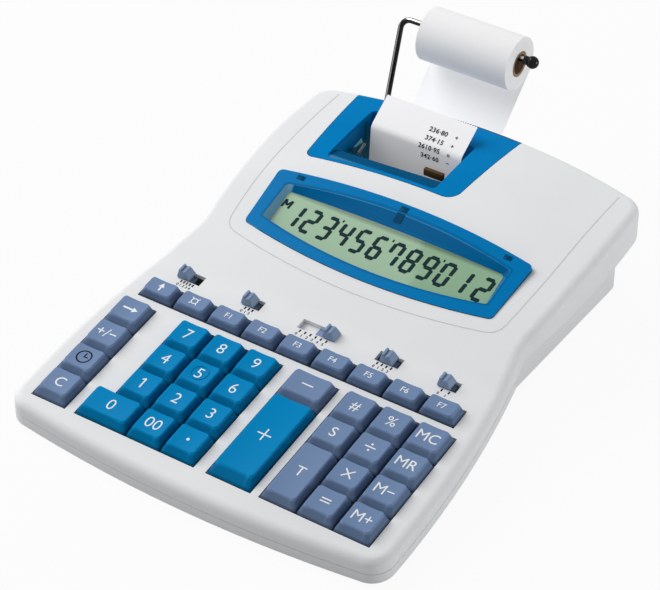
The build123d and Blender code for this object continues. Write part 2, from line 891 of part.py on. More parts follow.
def deck_sheet(high, thickness):
    length = board_rear - board_front
    sheet = standing_box(2 * board_half_width, length, high - thickness, high)
    return deck * (Pos(0, (board_rear + board_front) / 2, 0) * sheet)


def make_boards():
    mat_top = -stem_reach - key_travel - mat_clearance
    add("key_mat", deck_sheet(mat_top, mat_thickness))
    add("main_board", deck_sheet(mat_top - mat_thickness, board_thickness))


# Paper web, roll and arm

web_half = paper_gap + paper_thickness / 2
platen_wrap = platen_radius + web_half
roll_wrap = roll_radius + web_half


def tangent_normal():
    """Unit vector, in Y and Z, from both roller centers to the straight run between them."""
    dy, dz = roll_y - platen_y, roll_z - platen_z
    span = hypot(dy, dz)
    lean = (roll_wrap - platen_wrap) / span
    level = sqrt(1 - lean ** 2)
    return ((level * dz + lean * dy) / span, (lean * dz - level * dy) / span)


def web_height(y):
    """Height of the web's straight run behind the case."""
    ny, nz = tangent_normal()
    low = (platen_y + platen_wrap * ny, platen_z + platen_wrap * nz)
    return low[1] - (y - low[0]) * ny / nz


def front_normal():
    """Unit vector from the platen's center to where the paper leaves it in front."""
    dy, dz = crease_y - platen_y, crease_z - platen_z
    span = hypot(dy, dz)
    across = platen_wrap / span
    along = sqrt(1 - across ** 2)
    return ((across * dy - along * dz) / span, (across * dz + along * dy) / span)


def make_paper():
    ny, nz = tangent_normal()
    fy, fz = front_normal()
    leave = (roll_y + roll_wrap * ny, roll_z + roll_wrap * nz)
    enter = (platen_y + platen_wrap * ny, platen_z + platen_wrap * nz)
    exit_point = (platen_y + platen_wrap * fy, platen_z + platen_wrap * fz)
    under = (platen_y, platen_z - platen_wrap)
    path = Line(leave, enter) + ThreePointArc(enter, under, exit_point)
    path += FilletPolyline(exit_point, (crease_y, crease_z), (tear_y, tear_z), radius=crease_radius)
    strip = make_face(offset(path, paper_thickness / 2, side=Side.BOTH))
    add("paper_web", Pos(paper_x, 0, 0) * extrude(Plane.YZ * strip, paper_width / 2, both=True))


def make_roll():
    core_outer = core_bore + core_wall
    core = along_width(core_outer, paper_left, paper_right) - along_width(core_bore, paper_left, paper_right)
    roll = along_width(roll_radius, paper_left, paper_right)
    roll -= along_width(core_outer + axle_clearance, paper_left, paper_right)
    add("paper_roll", Pos(0, roll_y, roll_z) * roll)
    add("roll_core", Pos(0, roll_y, roll_z) * core)


def make_arm():
    leg = (arm_x, tub_rear_y - arm_socket_length, arm_leg_z)
    foot = (arm_x, arm_upright_foot_y, arm_leg_z)
    shoulder = (arm_x, roll_y, wire_z)
    tip = (paper_right + arm_reach, roll_y, wire_z)
    path = FilletPolyline(leg, foot, shoulder, tip, radius=arm_bend)
    start = Plane(origin=leg, z_dir=(0, 1, 0))
    add("paper_arm", sweep(start * Circle(arm_diameter / 2), path=path))
    neck_start = tip[0] - knob_neck
    knob = Pos(tip[0] + knob_reach, 0, 0) * Sphere(knob_ball / 2)
    knob += along_width(knob_neck_diameter / 2, neck_start, tip[0] + knob_reach)
    knob -= along_width(arm_diameter / 2 + axle_clearance, neck_start, tip[0])
    add("arm_knob", Pos(0, roll_y, wire_z) * knob)


# Printer

def gear_face():
    step = 360 / gear_teeth
    root = gear_radius - tooth_depth
    points = []
    for tooth in range(gear_teeth):
        for share, radius in zip(tooth_shares, (root, gear_radius, gear_radius, root)):
            angle = radians((tooth + share) * step)
            points.append((radius * cos(angle), radius * sin(angle)))
    return make_face(Polyline(*points, close=True))


def make_printer():
    left = paper_left - frame_gap
    right = paper_right + frame_gap
    floor = tub_bottom + lower_wall
    depth = frame_rear_y - frame_front_y
    center = Pos((left + right) / 2, (frame_rear_y + frame_front_y) / 2, 0)
    frame = center * standing_box(right - left + 2 * frame_plate, depth, floor, floor + frame_plate)
    side = standing_box(frame_plate, depth, floor, frame_top_z)
    to_side = (right - left + frame_plate) / 2
    frame += [center * Pos(-to_side, 0, 0) * side, center * Pos(to_side, 0, 0) * side]
    front = standing_box(right - left + frame_plate, frame_plate, floor, guide_z)
    frame += center * Pos(0, (frame_plate - depth) / 2, 0) * front
    guide = along_width(guide_radius, left - frame_plate / 2, right + frame_plate / 2)
    frame += Pos(0, guide_y, guide_z) * guide
    hole = along_width(axle_radius + axle_clearance, left - 2 * frame_plate, right + 2 * frame_plate)
    frame -= Pos(0, platen_y, platen_z) * hole
    add("printer_frame", frame)
    gear_left = left - frame_plate - gear_gap - gear_thickness
    platen = along_width(platen_radius, left + roller_gap, right - roller_gap)
    platen += along_width(axle_radius, gear_left, right + frame_plate + roller_gap)
    platen += Pos(gear_left, 0, 0) * Rot(0, 90, 0) * extrude(gear_face(), gear_thickness)
    add("platen_roller", Pos(0, platen_y, platen_z) * platen)
    paper_front = platen_y - platen_wrap - paper_thickness
    carriage_depth = paper_front - carriage_gap - carriage_front_y
    carriage = Pos(0, carriage_front_y + carriage_depth / 2, guide_z) * Box(
        carriage_width, carriage_depth, carriage_height)
    guide_bore = along_width(guide_radius + guide_clearance, -carriage_width, carriage_width)
    carriage -= Pos(0, guide_y, guide_z) * guide_bore
    add("print_carriage", Pos(right - carriage_width / 2 - carriage_gap, 0, 0) * carriage)


make_keys()
make_switches()
make_display()
make_cover()
make_upper_case()
make_feet(make_lower_case())
make_screws()
make_boards()
make_paper()
make_roll()
make_arm()
make_printer()
os.makedirs("parts", exist_ok=True)
for name, solid in parts.items():
    export_step(solid, f"parts/{name}.step")
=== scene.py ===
"""Desk calculator with a paper roll: caps, legends, display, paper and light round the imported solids."""

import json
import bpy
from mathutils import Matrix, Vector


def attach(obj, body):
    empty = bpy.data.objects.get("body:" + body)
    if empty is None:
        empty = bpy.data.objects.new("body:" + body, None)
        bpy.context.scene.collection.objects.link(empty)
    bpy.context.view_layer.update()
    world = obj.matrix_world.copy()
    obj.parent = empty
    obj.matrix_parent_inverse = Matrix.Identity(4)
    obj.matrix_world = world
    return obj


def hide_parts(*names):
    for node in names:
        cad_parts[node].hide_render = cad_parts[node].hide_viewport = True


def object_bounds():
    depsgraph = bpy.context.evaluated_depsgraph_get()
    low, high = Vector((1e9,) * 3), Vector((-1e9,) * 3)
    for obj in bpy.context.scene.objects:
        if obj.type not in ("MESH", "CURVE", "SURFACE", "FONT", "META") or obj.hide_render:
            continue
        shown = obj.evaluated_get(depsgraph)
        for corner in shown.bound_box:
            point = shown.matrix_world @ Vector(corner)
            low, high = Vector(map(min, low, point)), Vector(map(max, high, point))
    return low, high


bl_info = {
    "name": "Desk Calculator",
    "version": (1, 0, 0),
    "blender": (4, 5, 0),
    "location": "View3D > Sidebar > Calculator",
    "description": "Key caps, legends, display, printer, paper and studio round the solids",
    "category": "Object",
}

from math import acos, atan2, cos, pi, radians, sin, sqrt, tan

import bmesh
import bpy
from bpy.props import FloatProperty, FloatVectorProperty, PointerProperty
from mathutils import Matrix, Vector
from mathutils.bvhtree import BVHTree

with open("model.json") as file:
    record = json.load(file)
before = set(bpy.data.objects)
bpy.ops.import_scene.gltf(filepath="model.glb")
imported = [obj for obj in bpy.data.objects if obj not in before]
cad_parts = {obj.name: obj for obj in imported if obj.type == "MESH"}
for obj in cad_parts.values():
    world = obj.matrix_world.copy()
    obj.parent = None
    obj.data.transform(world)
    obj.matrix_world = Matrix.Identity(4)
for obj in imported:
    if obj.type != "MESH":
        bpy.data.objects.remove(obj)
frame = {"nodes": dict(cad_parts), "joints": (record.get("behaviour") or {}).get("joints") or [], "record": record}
cad_box = [list(corner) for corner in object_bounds()]
slot_colours = {m["slot"]: tuple(m["base_color"][:3]) for m in frame["record"]["materials"]}
joint_places = {j["name"]: Vector(j["pos_m"]) for j in frame["joints"] if "pos_m" in j}

# Shapes below are drawn in millimetres in a plane of their own and then put in their place.
TO_METRES = Matrix.Scale(0.001, 4)
FRONT_Y = cad_box[0][1]


def sloped_plane(y, z, tilt):
    """A plane across the calculator, at a distance behind its front edge and a height, in millimetres."""
    lift = Matrix.Translation((0, FRONT_Y + y / 1000, z / 1000))
    return lift @ Matrix.Rotation(radians(tilt), 4, "X") @ TO_METRES


# Distance behind the front edge, height and tilt of the sloped planes
FRAME_SLOPE = (161.4, 44.7, 16.6)
COVER_SLOPE = (222.0, 57.0, 2.8)
DECK_SLOPE = (0.0, 14.5, 8.6)
GLASS_SLOPE = (171.0, 42.4, 23.0)
DECK = sloped_plane(*DECK_SLOPE)
WINDOW_PLANE = sloped_plane(*FRAME_SLOPE)
GLASS_PLANE = sloped_plane(*GLASS_SLOPE)
UPRIGHT = sloped_plane(0.0, 0.0, 0.0)


def box_on(plane, node):
    """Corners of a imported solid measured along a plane's own directions, in millimetres."""
    solid = frame["nodes"][node]
    into = plane.inverted() @ solid.matrix_world
    points = [into @ v.co for v in solid.data.vertices]
    return [Vector([pick(point[axis] for point in points) for axis in range(3)]) for pick in (min, max)]


def deck_stand(node):
    """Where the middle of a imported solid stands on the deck, with its corners there."""
    low, high = box_on(DECK, node)
    x, v = (low.x + high.x) / 2, (low.y + high.y) / 2
    return low, high, (x, v), DECK @ Matrix.Translation((x, v, 0))


def colour_property(label, about, default):
    """A colour that the panel shows."""
    return FloatVectorProperty(name=label, description=about, subtype="COLOR", size=3, min=0, max=1,
                               default=default)


def length_property(label, about, default):
    """A length that is given here in millimetres and kept in metres."""
    return FloatProperty(name=label, description=about, default=default / 1000, min=0, subtype="DISTANCE",
                         unit="LENGTH")


class CalculatorColours(bpy.types.PropertyGroup):
    """Colours of the calculator's plastics, paper and print"""

    case: colour_property("Case", "Off-white case plastic", (0.835, 0.845, 0.855))
    slate: colour_property("Slate keys", "Grey-blue keys", (0.175, 0.262, 0.44))
    knob: colour_property("Knobs", "Paler grey-blue of the switch knobs", (0.245, 0.335, 0.49))
    blue: colour_property("Blue keys", "Number keys and the plus key", (0.0, 0.235, 0.53))
    window: colour_property("Window", "Tinted display frame and printer cover", (0.0, 0.205, 0.52))
    # Painted shade and light on the tinted plastic: the shade of the frame's sloped walls, the shade where it lies
    # deep (the clips also take this colour, darker) and the light where it is lit
    window_wall: colour_property("Window walls", "The display frame's sloped walls", (0.0, 0.115, 0.30))
    window_deep: colour_property("Deep window", "The tinted plastic where it lies deep", (0.0, 0.082, 0.20))
    window_pale: colour_property("Pale window", "The tinted plastic where it is lit", (0.20, 0.44, 0.62))
    glass: colour_property("Display glass", "Grey-green of the display", (0.31, 0.495, 0.32))
    segment: colour_property("Segments", "Dark parts of the display", (0.012, 0.035, 0.04))
    legend: colour_property("Legends", "White print on the keys", (0.90, 0.92, 0.94))
    ink: colour_property("Ink", "Black print on the case and the clock key", (0.015, 0.015, 0.018))
    paper: colour_property("Paper", "Paper roll and strip", (0.86, 0.86, 0.87))
    card: colour_property("Card", "Core of the roll", slot_colours["card"])
    works: colour_property("Printer works", "Dark plastic of the printer", (0.006, 0.05, 0.085))


class CalculatorSizes(bpy.types.PropertyGroup):
    """Sizes of what is printed or rounded"""

    cap_round: length_property("Cap edge", "Rounding of a key's upper edge", 0.55)
    cap_corner: length_property("Cap corner", "Rounding of a key's upright corners", 1.5)
    dish: length_property("Cap dish", "Depth of the hollow across a key's top", 0.6)
    digit: length_property("Digits", "Height of the digits on the number keys", 6.9)
    letter: length_property("Letters", "Height of the marks on the grey keys", 6.2)
    small_letter: length_property("Small letters", "Height of the marks on the function row", 3.5)
    print_thickness: length_property("Print", "Thickness of the print", 0.08)
    segment_height: length_property("Display digit", "Height of a digit on the display", 13.4)
    paper_thickness: length_property("Paper", "Thickness of the paper strip", 0.16)


def shaded(colour, share):
    """A colour made darker or lighter by a share."""
    return tuple(share * channel for channel in colour)


def tone(name, share=1.0):
    """One of the calculator's colours, darker or lighter by a share."""
    return shaded(getattr(bpy.context.scene.calculator_colours, name), share)


def size_of(name):
    """One of the sizes, in millimetres."""
    return getattr(bpy.context.scene.calculator_sizes, name) * 1000


# Finishes


def feed(tree, socket, value):
    """Link a shader value to a socket, or set a plain one."""
    if isinstance(value, Wire):
        tree.links.new(value.socket, socket)
    else:
        socket.default_value = value


class Wire:
    """A shader value that takes part in Python expressions."""

    def __init__(self, tree, socket):
        self.tree = tree
        self.socket = socket

    def combine(self, operation, first, second, clamp=False):
        node = self.tree.nodes.new("ShaderNodeMath")
        node.operation = operation
        node.use_clamp = clamp
        feed(self.tree, node.inputs[0], first)
        feed(self.tree, node.inputs[1], second)
        return Wire(self.tree, node.outputs[0])

    def __add__(self, other):
        return self.combine("ADD", self, other)

    __radd__ = __add__

    def __sub__(self, other):
        return self.combine("SUBTRACT", self, other)

    def __rsub__(self, other):
        return self.combine("SUBTRACT", other, self)

    def __mul__(self, other):
        return self.combine("MULTIPLY", self, other)

    __rmul__ = __mul__

    def __truediv__(self, other):
        return self.combine("DIVIDE", self, other)

    def __pow__(self, other):
        return self.combine("POWER", self, other)

    def clamped(self):
        return self.combine("ADD", self, 0.0, clamp=True)

    def sine(self):
        return self.combine("SINE", self, 0.0)

    def size(self):
        return self.combine("ABSOLUTE", self, 0.0)

    def larger(self, other):
        return self.combine("MAXIMUM", self, other)


class Finish:
    """A material and the nodes that make it."""

    def __init__(self, name):
        self.material = bpy.data.materials.new(name)
        self.material.use_nodes = True
        self.tree = self.material.node_tree
        self.shader = self.tree.nodes["Principled BSDF"]
        self.shader.inputs["Specular IOR Level"].default_value = 0.03

    def node(self, kind, settings=None, inputs=None, output=0):
        made = self.tree.nodes.new("ShaderNode" + kind)
        for name, value in (settings or {}).items():
            setattr(made, name, value)
        for name, value in (inputs or {}).items():
            feed(self.tree, made.inputs[name], value)
        return Wire(self.tree, made.outputs[output])

    def place(self):
        return self.node("TexCoord", output="Object")

    def axes(self):
        place = self.place()
        return [self.node("SeparateXYZ", inputs={"Vector": place}, output=axis) for axis in "XYZ"]

    def noise(self, scale, detail=2.0):
        return self.node("TexNoise", inputs={"Vector": self.place(), "Scale": scale, "Detail": detail})

    def mixed(self, share, first, second):
        colour_a = (*first, 1.0) if isinstance(first, (tuple, list)) else first
        colour_b = (*second, 1.0) if isinstance(second, (tuple, list)) else second
        return self.node("Mix", {"data_type": "RGBA"}, {0: share, 6: colour_a, 7: colour_b}, output=2)

    def bump(self, height, strength, distance):
        return self.node("Bump", inputs={"Height": height, "Strength": strength, "Distance": distance})

    def surface(self, **values):
        for name, value in values.items():
            colour = isinstance(value, (tuple, list)) and len(value) == 3
            feed(self.tree, self.shader.inputs[name.replace("_", " ")], (*value, 1.0) if colour else value)
        return self.material


# Clouds in a moulding's colour and shine, and its grain
CLOUDS, UNEVEN_SHINE, GRAIN_STRENGTH, GRAIN_DEPTH, KEY_GRAIN = 22.0, 0.12, 0.22, 0.00005, 3200.0


def moulding(finish, colour, grain, grain_depth):
    """Faint clouds, the colour that they vary, and the normal of a fine spark-eroded grain."""
    clouds = finish.noise(CLOUDS)
    tint = finish.mixed(clouds, shaded(colour, 0.965), shaded(colour, 1.03))
    return clouds, tint, finish.bump(finish.noise(grain), GRAIN_STRENGTH, grain_depth)


def moulded_plastic(name, colour, roughness, glow=0.0, coat=0.0, grain=2600.0, grain_depth=GRAIN_DEPTH):
    """Satin moulding with a faintly uneven shine, and if asked, a glow of painted light."""
    finish = Finish(name)
    clouds, tint, normal = moulding(finish, colour, grain, grain_depth)
    # Painted light: the glow is an emission that stands for light falling on the part
    if glow:
        finish.surface(Emission_Color=tint, Emission_Strength=glow)
    return finish.surface(Base_Color=tint, Roughness=(clouds - 0.5) * UNEVEN_SHINE + roughness, Normal=normal,
                          Coat_Weight=coat)


def plane_depth(finish, y, z, tilt):
    """How far a point lies under a sloped plane, in millimetres."""
    _, along, up = finish.axes()
    level = (along - (FRONT_Y + y / 1000)) * tan(radians(tilt)) + z / 1000
    return (level - up) * 1000


# Heights over the deck where a key's foot and flanks end, below which painted shade darkens them, and the run of
# each change, in millimetres
FOOT_TOP, FLANK_TOP, FLANK_BLEND, KEY_ROUGHNESS = 0.3, 3.0, 0.6, 0.41


def key_plastic(name, colour):
    """Key moulding with painted shade: darker on the flanks than on top and darker still down in the gaps between
    the keys, where shade falls.
    """
    finish = Finish(name)
    clouds, tint, normal = moulding(finish, colour, KEY_GRAIN, GRAIN_DEPTH)
    # Painted shade: the flanks and the foot darken with their height over the deck
    height = plane_depth(finish, *DECK_SLOPE) * -1
    flank_shade = 1 - ((height - FLANK_TOP) / FLANK_BLEND).clamped()
    foot = 1 - ((height - FOOT_TOP) / FLANK_BLEND).clamped()
    shade = finish.mixed(flank_shade * 0.38 + foot * 0.3, tint, shaded(colour, 0.12))
    return finish.surface(Base_Color=shade, Roughness=(clouds - 0.5) * UNEVEN_SHINE + KEY_ROUGHNESS,
                          Normal=normal)


# The rim round the display's hollow: half its width, front and back edge and how far each edge bows, on the
# window's plane
RIM_HALF, RIM_FRONT, RIM_BACK, RIM_FRONT_BOW, RIM_BACK_BOW = 68.5, 6.9, 30.9, 7.9, 8.5


def frame_rim(across, along):
    """Share of the painted dark line that stands for the shade the edge of the display's hollow throws into the
    clear plastic round it.
    """
    x = across * 1000
    v = (along - (FRONT_Y + FRAME_SLOPE[0] / 1000)) * (1000 / cos(radians(FRAME_SLOPE[2])))
    bowed = 1 - x * x / RIM_HALF ** 2
    outside = (v - RIM_BACK - bowed * RIM_BACK_BOW).larger(RIM_FRONT - bowed * RIM_FRONT_BOW - v)
    return (1 - (outside.larger(x.size() - RIM_HALF) - 0.5).size() / 1.1).clamped() * 0.75


# Tinted plastic, in millimetres: the depth at which its painted shade begins and the run of the change, where the
# frame's painted lit side begins and where the painted shade along the cover's rear edge lies
FRAME_DEPTH_SHADE, COVER_DEPTH_SHADE = (0.1, 0.22), (0.8, 0.4)
FRAME_LIT, COVER_SHADED_REAR, NOWHERE = 64.0, 283.6, 500.0


def tinted_plastic(name, plane, darkening, deep_shade, lit_side, shaded_rear, rimmed):
    """Clear blue plastic with painted light and shade: bright where the case lies close behind it, painted dark
    where it reaches inside, with painted streaks of light, a painted lit side and painted shade along a rear edge.
    """
    finish = Finish(name)
    across, along, _ = finish.axes()
    begin, run = darkening
    # Painted shade: the plastic darkens with its depth under its plane
    depth = ((plane_depth(finish, *plane) - begin) / run).clamped()
    cloud = finish.noise(55.0)
    streaks = finish.node("CombineXYZ", inputs={"X": across * 14, "Y": along * 900, "Z": 0.0})
    streak = finish.node("TexNoise", inputs={"Vector": streaks, "Scale": 1.0, "Detail": 2.0})
    # Painted shade: the dark line round the display's hollow
    if rimmed:
        near = finish.mixed(frame_rim(across, along), tone("window", 0.92), deep_shade)
    else:
        near = finish.mixed(cloud, tone("window", 0.94), tone("window", 1.06))
    # Painted light: lighter streaks in the deep, shaded parts
    far = finish.mixed((streak * 4 - 2.2).clamped() * 0.45, deep_shade, tone("window"))
    # Painted light: the frame's lit side, and streaks of light where the plastic begins to sink
    lit = ((across * -1000 - lit_side) / 1.5).clamped() * depth * 0.9
    rim = (depth * (1 - depth) * 4 - 0.3).clamped() * streak * 0.8
    tint = finish.mixed((lit + rim).clamped(), finish.mixed(depth, near, far), tone("window_pale"))
    # Painted shade along the cover's rear edge
    edge = ((along - (FRONT_Y + shaded_rear / 1000 - 0.0012)) * 1500).clamped()
    tint = finish.mixed(edge * 0.75, tint, tone("window_deep", 0.3))
    normal = finish.bump(finish.noise(900.0), 0.05, 0.0001)
    return finish.surface(Base_Color=tint, Roughness=0.2 + cloud * 0.08, Normal=normal)


# Where a painted shadow of the frame's rim lies on the display's glass, in metres
GLASS_SHADE_Y, GLASS_SHADE_X, GLASS_SHADE = 0.1876, 0.0636, 0.0020
GLASS_WEAVE, ROLL_RINGS = 2 * pi / 0.0006, 2 * pi / 0.0009


def display_glass(name):
    """Grey-green glass with a fine weave, and a painted shadow of the frame's rim at the back and the left."""
    finish = Finish(name)
    across, along, _ = finish.axes()
    cloud = finish.noise(30.0)
    weave = (across * GLASS_WEAVE).sine() * 0.5 + 0.5
    rows = (along * GLASS_WEAVE).sine() * 0.5 + 0.5
    mesh = (cloud * 0.7 + weave * rows * 0.3).clamped()
    lit = finish.mixed(mesh, tone("glass", 0.93), tone("glass", 1.05))
    shadow_back = ((along - (FRONT_Y + GLASS_SHADE_Y)) / GLASS_SHADE).clamped()
    shadow_left = ((across + GLASS_SHADE_X) / -GLASS_SHADE).clamped()
    # Painted shadow of the frame's rim at the back and the left
    tint = finish.mixed((shadow_back + shadow_left).clamped() * 0.65, lit, tone("glass", 0.2))
    return finish.surface(Base_Color=tint, Roughness=0.24 + cloud * 0.05, Coat_Weight=0.35)


def printed(name, colour, roughness=0.5):
    """Pad-printed ink, a little uneven."""
    finish = Finish(name)
    speck = finish.noise(1500.0, 3.0)
    tint = finish.mixed(speck, shaded(colour, 0.9), shaded(colour, 1.04))
    return finish.surface(Base_Color=tint, Roughness=roughness + speck * 0.1)


# Painted glow that stands for the light thin paper passes on to its shaded side: its strength round the roll
# and on the strip, and its share in the strip's front part as against the part that hangs behind the case
ROLL_PAINTED_GLOW, STRIP_PAINTED_GLOW, STRIP_FRONT, BEHIND_CASE = 0.14, 0.34, 0.55, 0.280
# Height in metres above which a painted shadow under the roll dims the glow
ROLL_SHADOW_START = 0.052


def paper_finish(name, wound):
    """Uncoated paper with a painted glow for the light that passes through it, dimmed by a painted shadow under
    the roll; on the roll, its wound edges show as fine rings.
    """
    finish = Finish(name)
    _, along, up = finish.axes()
    fibre = finish.noise(1100.0, 4.0)
    share = fibre * 0.35
    if wound:
        center = joint_places["roll_spin"]
        radius = ((along - center.y) ** 2 + (up - center.z) ** 2) ** 0.5
        rings = (radius * ROLL_RINGS).sine() * 0.5 + 0.5
        uneven = finish.noise(320.0, 2.0)
        share = (fibre * 0.3 + rings * uneven * 0.8).clamped()
    tint = finish.mixed(share, tone("paper"), tone("paper", 0.87))
    # Painted light: the glow is fuller behind the case, and a painted shadow under the roll dims it
    behind = ((along - (FRONT_Y + BEHIND_CASE)) * 200).clamped()
    behind = behind * (1 - ((up - ROLL_SHADOW_START) * 40).clamped() * 0.6)
    glow = finish.mixed(behind, tone("paper", STRIP_FRONT), tone("paper"))
    finish.surface(Emission_Color=glow, Emission_Strength=ROLL_PAINTED_GLOW if wound else STRIP_PAINTED_GLOW)
    normal = finish.bump(fibre, 0.12, 0.00008)
    return finish.surface(Base_Color=tint, Roughness=0.72 + fibre * 0.12, Normal=normal)


def card_finish(name):
    """Rough brown card."""
    finish = Finish(name)
    fibre = finish.noise(700.0, 4.0)
    tint = finish.mixed(fibre, tone("card", 0.6), tone("card", 1.35))
    normal = finish.bump(fibre, 0.3, 0.0001)
    return finish.surface(Base_Color=tint, Roughness=0.8 + fibre * 0.15, Normal=normal)


def metal(name, colour, roughness):
    """Plain metal with uneven shine."""
    finish = Finish(name)
    streak = finish.noise(400.0, 3.0)
    tint = finish.mixed(streak, shaded(colour, 0.85), shaded(colour, 1.1))
    return finish.surface(Base_Color=tint, Metallic=1.0, Roughness=roughness + streak * 0.12)


# Where a painted glint stands for the light that the arm's chrome catches: along the middle of its upright, above
# its top bar
GLINT_X, GLINT_Z = 0.0760, 0.0909


def chrome(name):
    """Dark chrome with a painted reflection: the bright streak that a rod shows along its length."""
    finish = Finish(name)
    across, _, up = finish.axes()
    # Painted reflection: a bright streak along the upright and over the top bar
    painted_glint = ((1 - (across + GLINT_X).size() * 2000).clamped() + ((up - GLINT_Z) * 2500).clamped()).clamped()
    tint = finish.mixed(painted_glint, (0.035, 0.033, 0.03), (0.62, 0.61, 0.60))
    return finish.surface(Base_Color=tint, Metallic=0.85, Roughness=0.1 + finish.noise(400.0) * 0.06)


def circuit_finish(name):
    """Green lacquer over copper tracks."""
    finish = Finish(name)
    across, along, _ = finish.axes()
    track = ((across * 2100).sine() * (along * 2600).sine() + finish.noise(120.0) * 0.6).clamped()
    tint = finish.mixed(track, (0.02, 0.16, 0.06), (0.05, 0.28, 0.10))
    return finish.surface(Base_Color=tint, Roughness=0.35 + track * 0.1)


finishes = {}


def finish_named(name):
    """Each finish is made once, when it is first wanted."""
    makers = {
        "case": (moulded_plastic, tone("case"), 0.46),
        "slate": (key_plastic, tone("slate")),
        "knob": (moulded_plastic, tone("knob"), 0.42, 0.0, 0.0, KEY_GRAIN),
        "blue": (key_plastic, tone("blue")),
        "frame": (tinted_plastic, FRAME_SLOPE, FRAME_DEPTH_SHADE, tone("window_wall"), FRAME_LIT, NOWHERE, True),
        "cover": (tinted_plastic, COVER_SLOPE, COVER_DEPTH_SHADE, tone("window_deep"), NOWHERE, COVER_SHADED_REAR, False),
        # The groove's ribbon is painted shade
        "groove": (moulded_plastic, tone("case", 0.72), 0.5),
        "liner": (moulded_plastic, tone("window", 0.8), 0.3),
        "clip": (moulded_plastic, tone("window_deep", 0.75), 0.3),
        "display_glass": (display_glass,),
        "segment": (printed, tone("segment"), 0.35),
        "legend": (printed, tone("legend")),
        "ink": (printed, tone("ink")),
        "tape_ink": (printed, (0.05, 0.05, 0.065)),
        "roll": (paper_finish, True),
        "paper": (paper_finish, False),
        "card": (card_finish,),
        "wire": (chrome,),
        "steel": (metal, (0.62, 0.62, 0.64), 0.28),
        "black": (moulded_plastic, (0.012, 0.012, 0.013), 0.16, 0.0, 0.5),
        # The printer's works glow: painted light that stands for light coming through the blue cover
        "works": (moulded_plastic, tone("works"), 0.38, 0.35),
        "pale_works": (moulded_plastic, (0.12, 0.30, 0.36), 0.4, 0.3),
        "ribbon": (moulded_plastic, (0.11, 0.065, 0.03), 0.45),
        "rubber": (moulded_plastic, (0.022, 0.022, 0.024), 0.75, 0.0, 0.0, 1500.0, 0.0001),
        "mat": (moulded_plastic, (0.30, 0.30, 0.31), 0.7),
        "circuit": (circuit_finish,),
    }
    if name not in finishes:
        maker, *settings = makers[name]
        finishes[name] = maker(name, *settings)
    return finishes[name]


def coat_node(node, finish):
    """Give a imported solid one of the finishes."""
    solid = frame["nodes"][node]
    if not solid.material_slots:
        solid.data.materials.append(finish_named(finish))
    for material_slot in solid.material_slots:
        material_slot.material = finish_named(finish)


# Shapes


def put(name, bm, place, finish, body, stands_for=(), crease=32.0):
    """Finish a shape drawn in millimetres as a piece that rides on a body."""
    bmesh.ops.transform(bm, matrix=place, verts=bm.verts)
    bmesh.ops.recalc_face_normals(bm, faces=bm.faces)
    mesh = bpy.data.meshes.new(name)
    bm.to_mesh(mesh)
    bm.free()
    made = bpy.data.objects.new(name, mesh)
    bpy.context.scene.collection.objects.link(made)
    mesh.materials.append(finish_named(finish))
    mesh.shade_smooth()
    mesh.set_sharp_from_angle(angle=radians(crease))
    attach(made, body)
    if stands_for:
        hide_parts(*stands_for)
    return made


def block(bm, low, high):
    """A box between two corners; returns its vertices."""
    low, high = Vector(low), Vector(high)
    made = bmesh.ops.create_cube(bm, size=1.0)["verts"]
    bmesh.ops.scale(bm, vec=high - low, verts=made)
    bmesh.ops.translate(bm, vec=(low + high) / 2, verts=made)
    return made


def edges_of(verts):
    """The edges with both ends among some vertices."""
    inside = set(verts)
    return [e for e in {e for v in verts for e in v.link_edges} if inside.issuperset(e.verts)]


def verts_in(geom):
    """The vertices among what an operator made."""
    return [part for part in geom if isinstance(part, bmesh.types.BMVert)]


def edges_in(geom):
    """The edges among what an operator made."""
    return [part for part in geom if isinstance(part, bmesh.types.BMEdge)]


def rounded(bm, edges, radius, segments=3):
    """Round some edges."""
    bmesh.ops.bevel(bm, geom=edges, offset=radius, offset_type="OFFSET", segments=segments, profile=0.5,
                    affect="EDGES", clamp_overlap=True, material=-1)


def soft_block(bm, low, high, radius, segments=2):
    """A box with rounded edges."""
    rounded(bm, edges_of(block(bm, low, high)), radius, segments)


def prism(bm, sides, radius, thickness):
    """An upright prism round the middle; returns its vertices."""
    return bmesh.ops.create_cone(bm, cap_ends=True, segments=sides, radius1=radius, radius2=radius,
                                 depth=thickness)["verts"]


def bar(bm, start, end, width, thickness):
    """A flat stroke from one point of the plane to another, lying on it."""
    start, end = Vector((*start, 0)), Vector((*end, 0))
    run = end - start
    made = block(bm, (0, -width / 2, 0), (run.length, width / 2, thickness))
    turn = Matrix.Translation(start) @ Matrix.Rotation(atan2(run.y, run.x), 4, "Z")
    bmesh.ops.transform(bm, matrix=turn, verts=made)
    return made


def lathe(bm, outline, steps=48):
    """Spin a closed outline of (radius, height) points round the Z axis."""
    corners = [bm.verts.new((radius, 0, height)) for radius, height in outline]
    ring = [bm.edges.new(pair) for pair in zip(corners, corners[1:] + corners[:1])]
    before = set(bm.verts) - set(corners)
    bmesh.ops.spin(bm, geom=corners + ring, cent=(0, 0, 0), axis=(0, 0, 1), angle=2 * pi, steps=steps,
                   use_merge=True)
    return [v for v in bm.verts if v not in before]


def disc_ring(bm, center, radius, width, thickness, steps=40):
    """A flat ring lying on the plane."""
    made = lathe(bm, [(radius - width / 2, 0), (radius + width / 2, 0), (radius + width / 2, thickness),
                      (radius - width / 2, thickness)], steps)
    bmesh.ops.translate(bm, vec=(*center, 0), verts=made)
    return made


def dot(bm, center, radius, thickness):
    """A round dot lying on the plane."""
    made = prism(bm, 20, radius, thickness)
    bmesh.ops.translate(bm, vec=(*center, thickness / 2), verts=made)
    return made


# Height of the font's capitals as a share of its size
CAPITAL_SHARE = 0.73


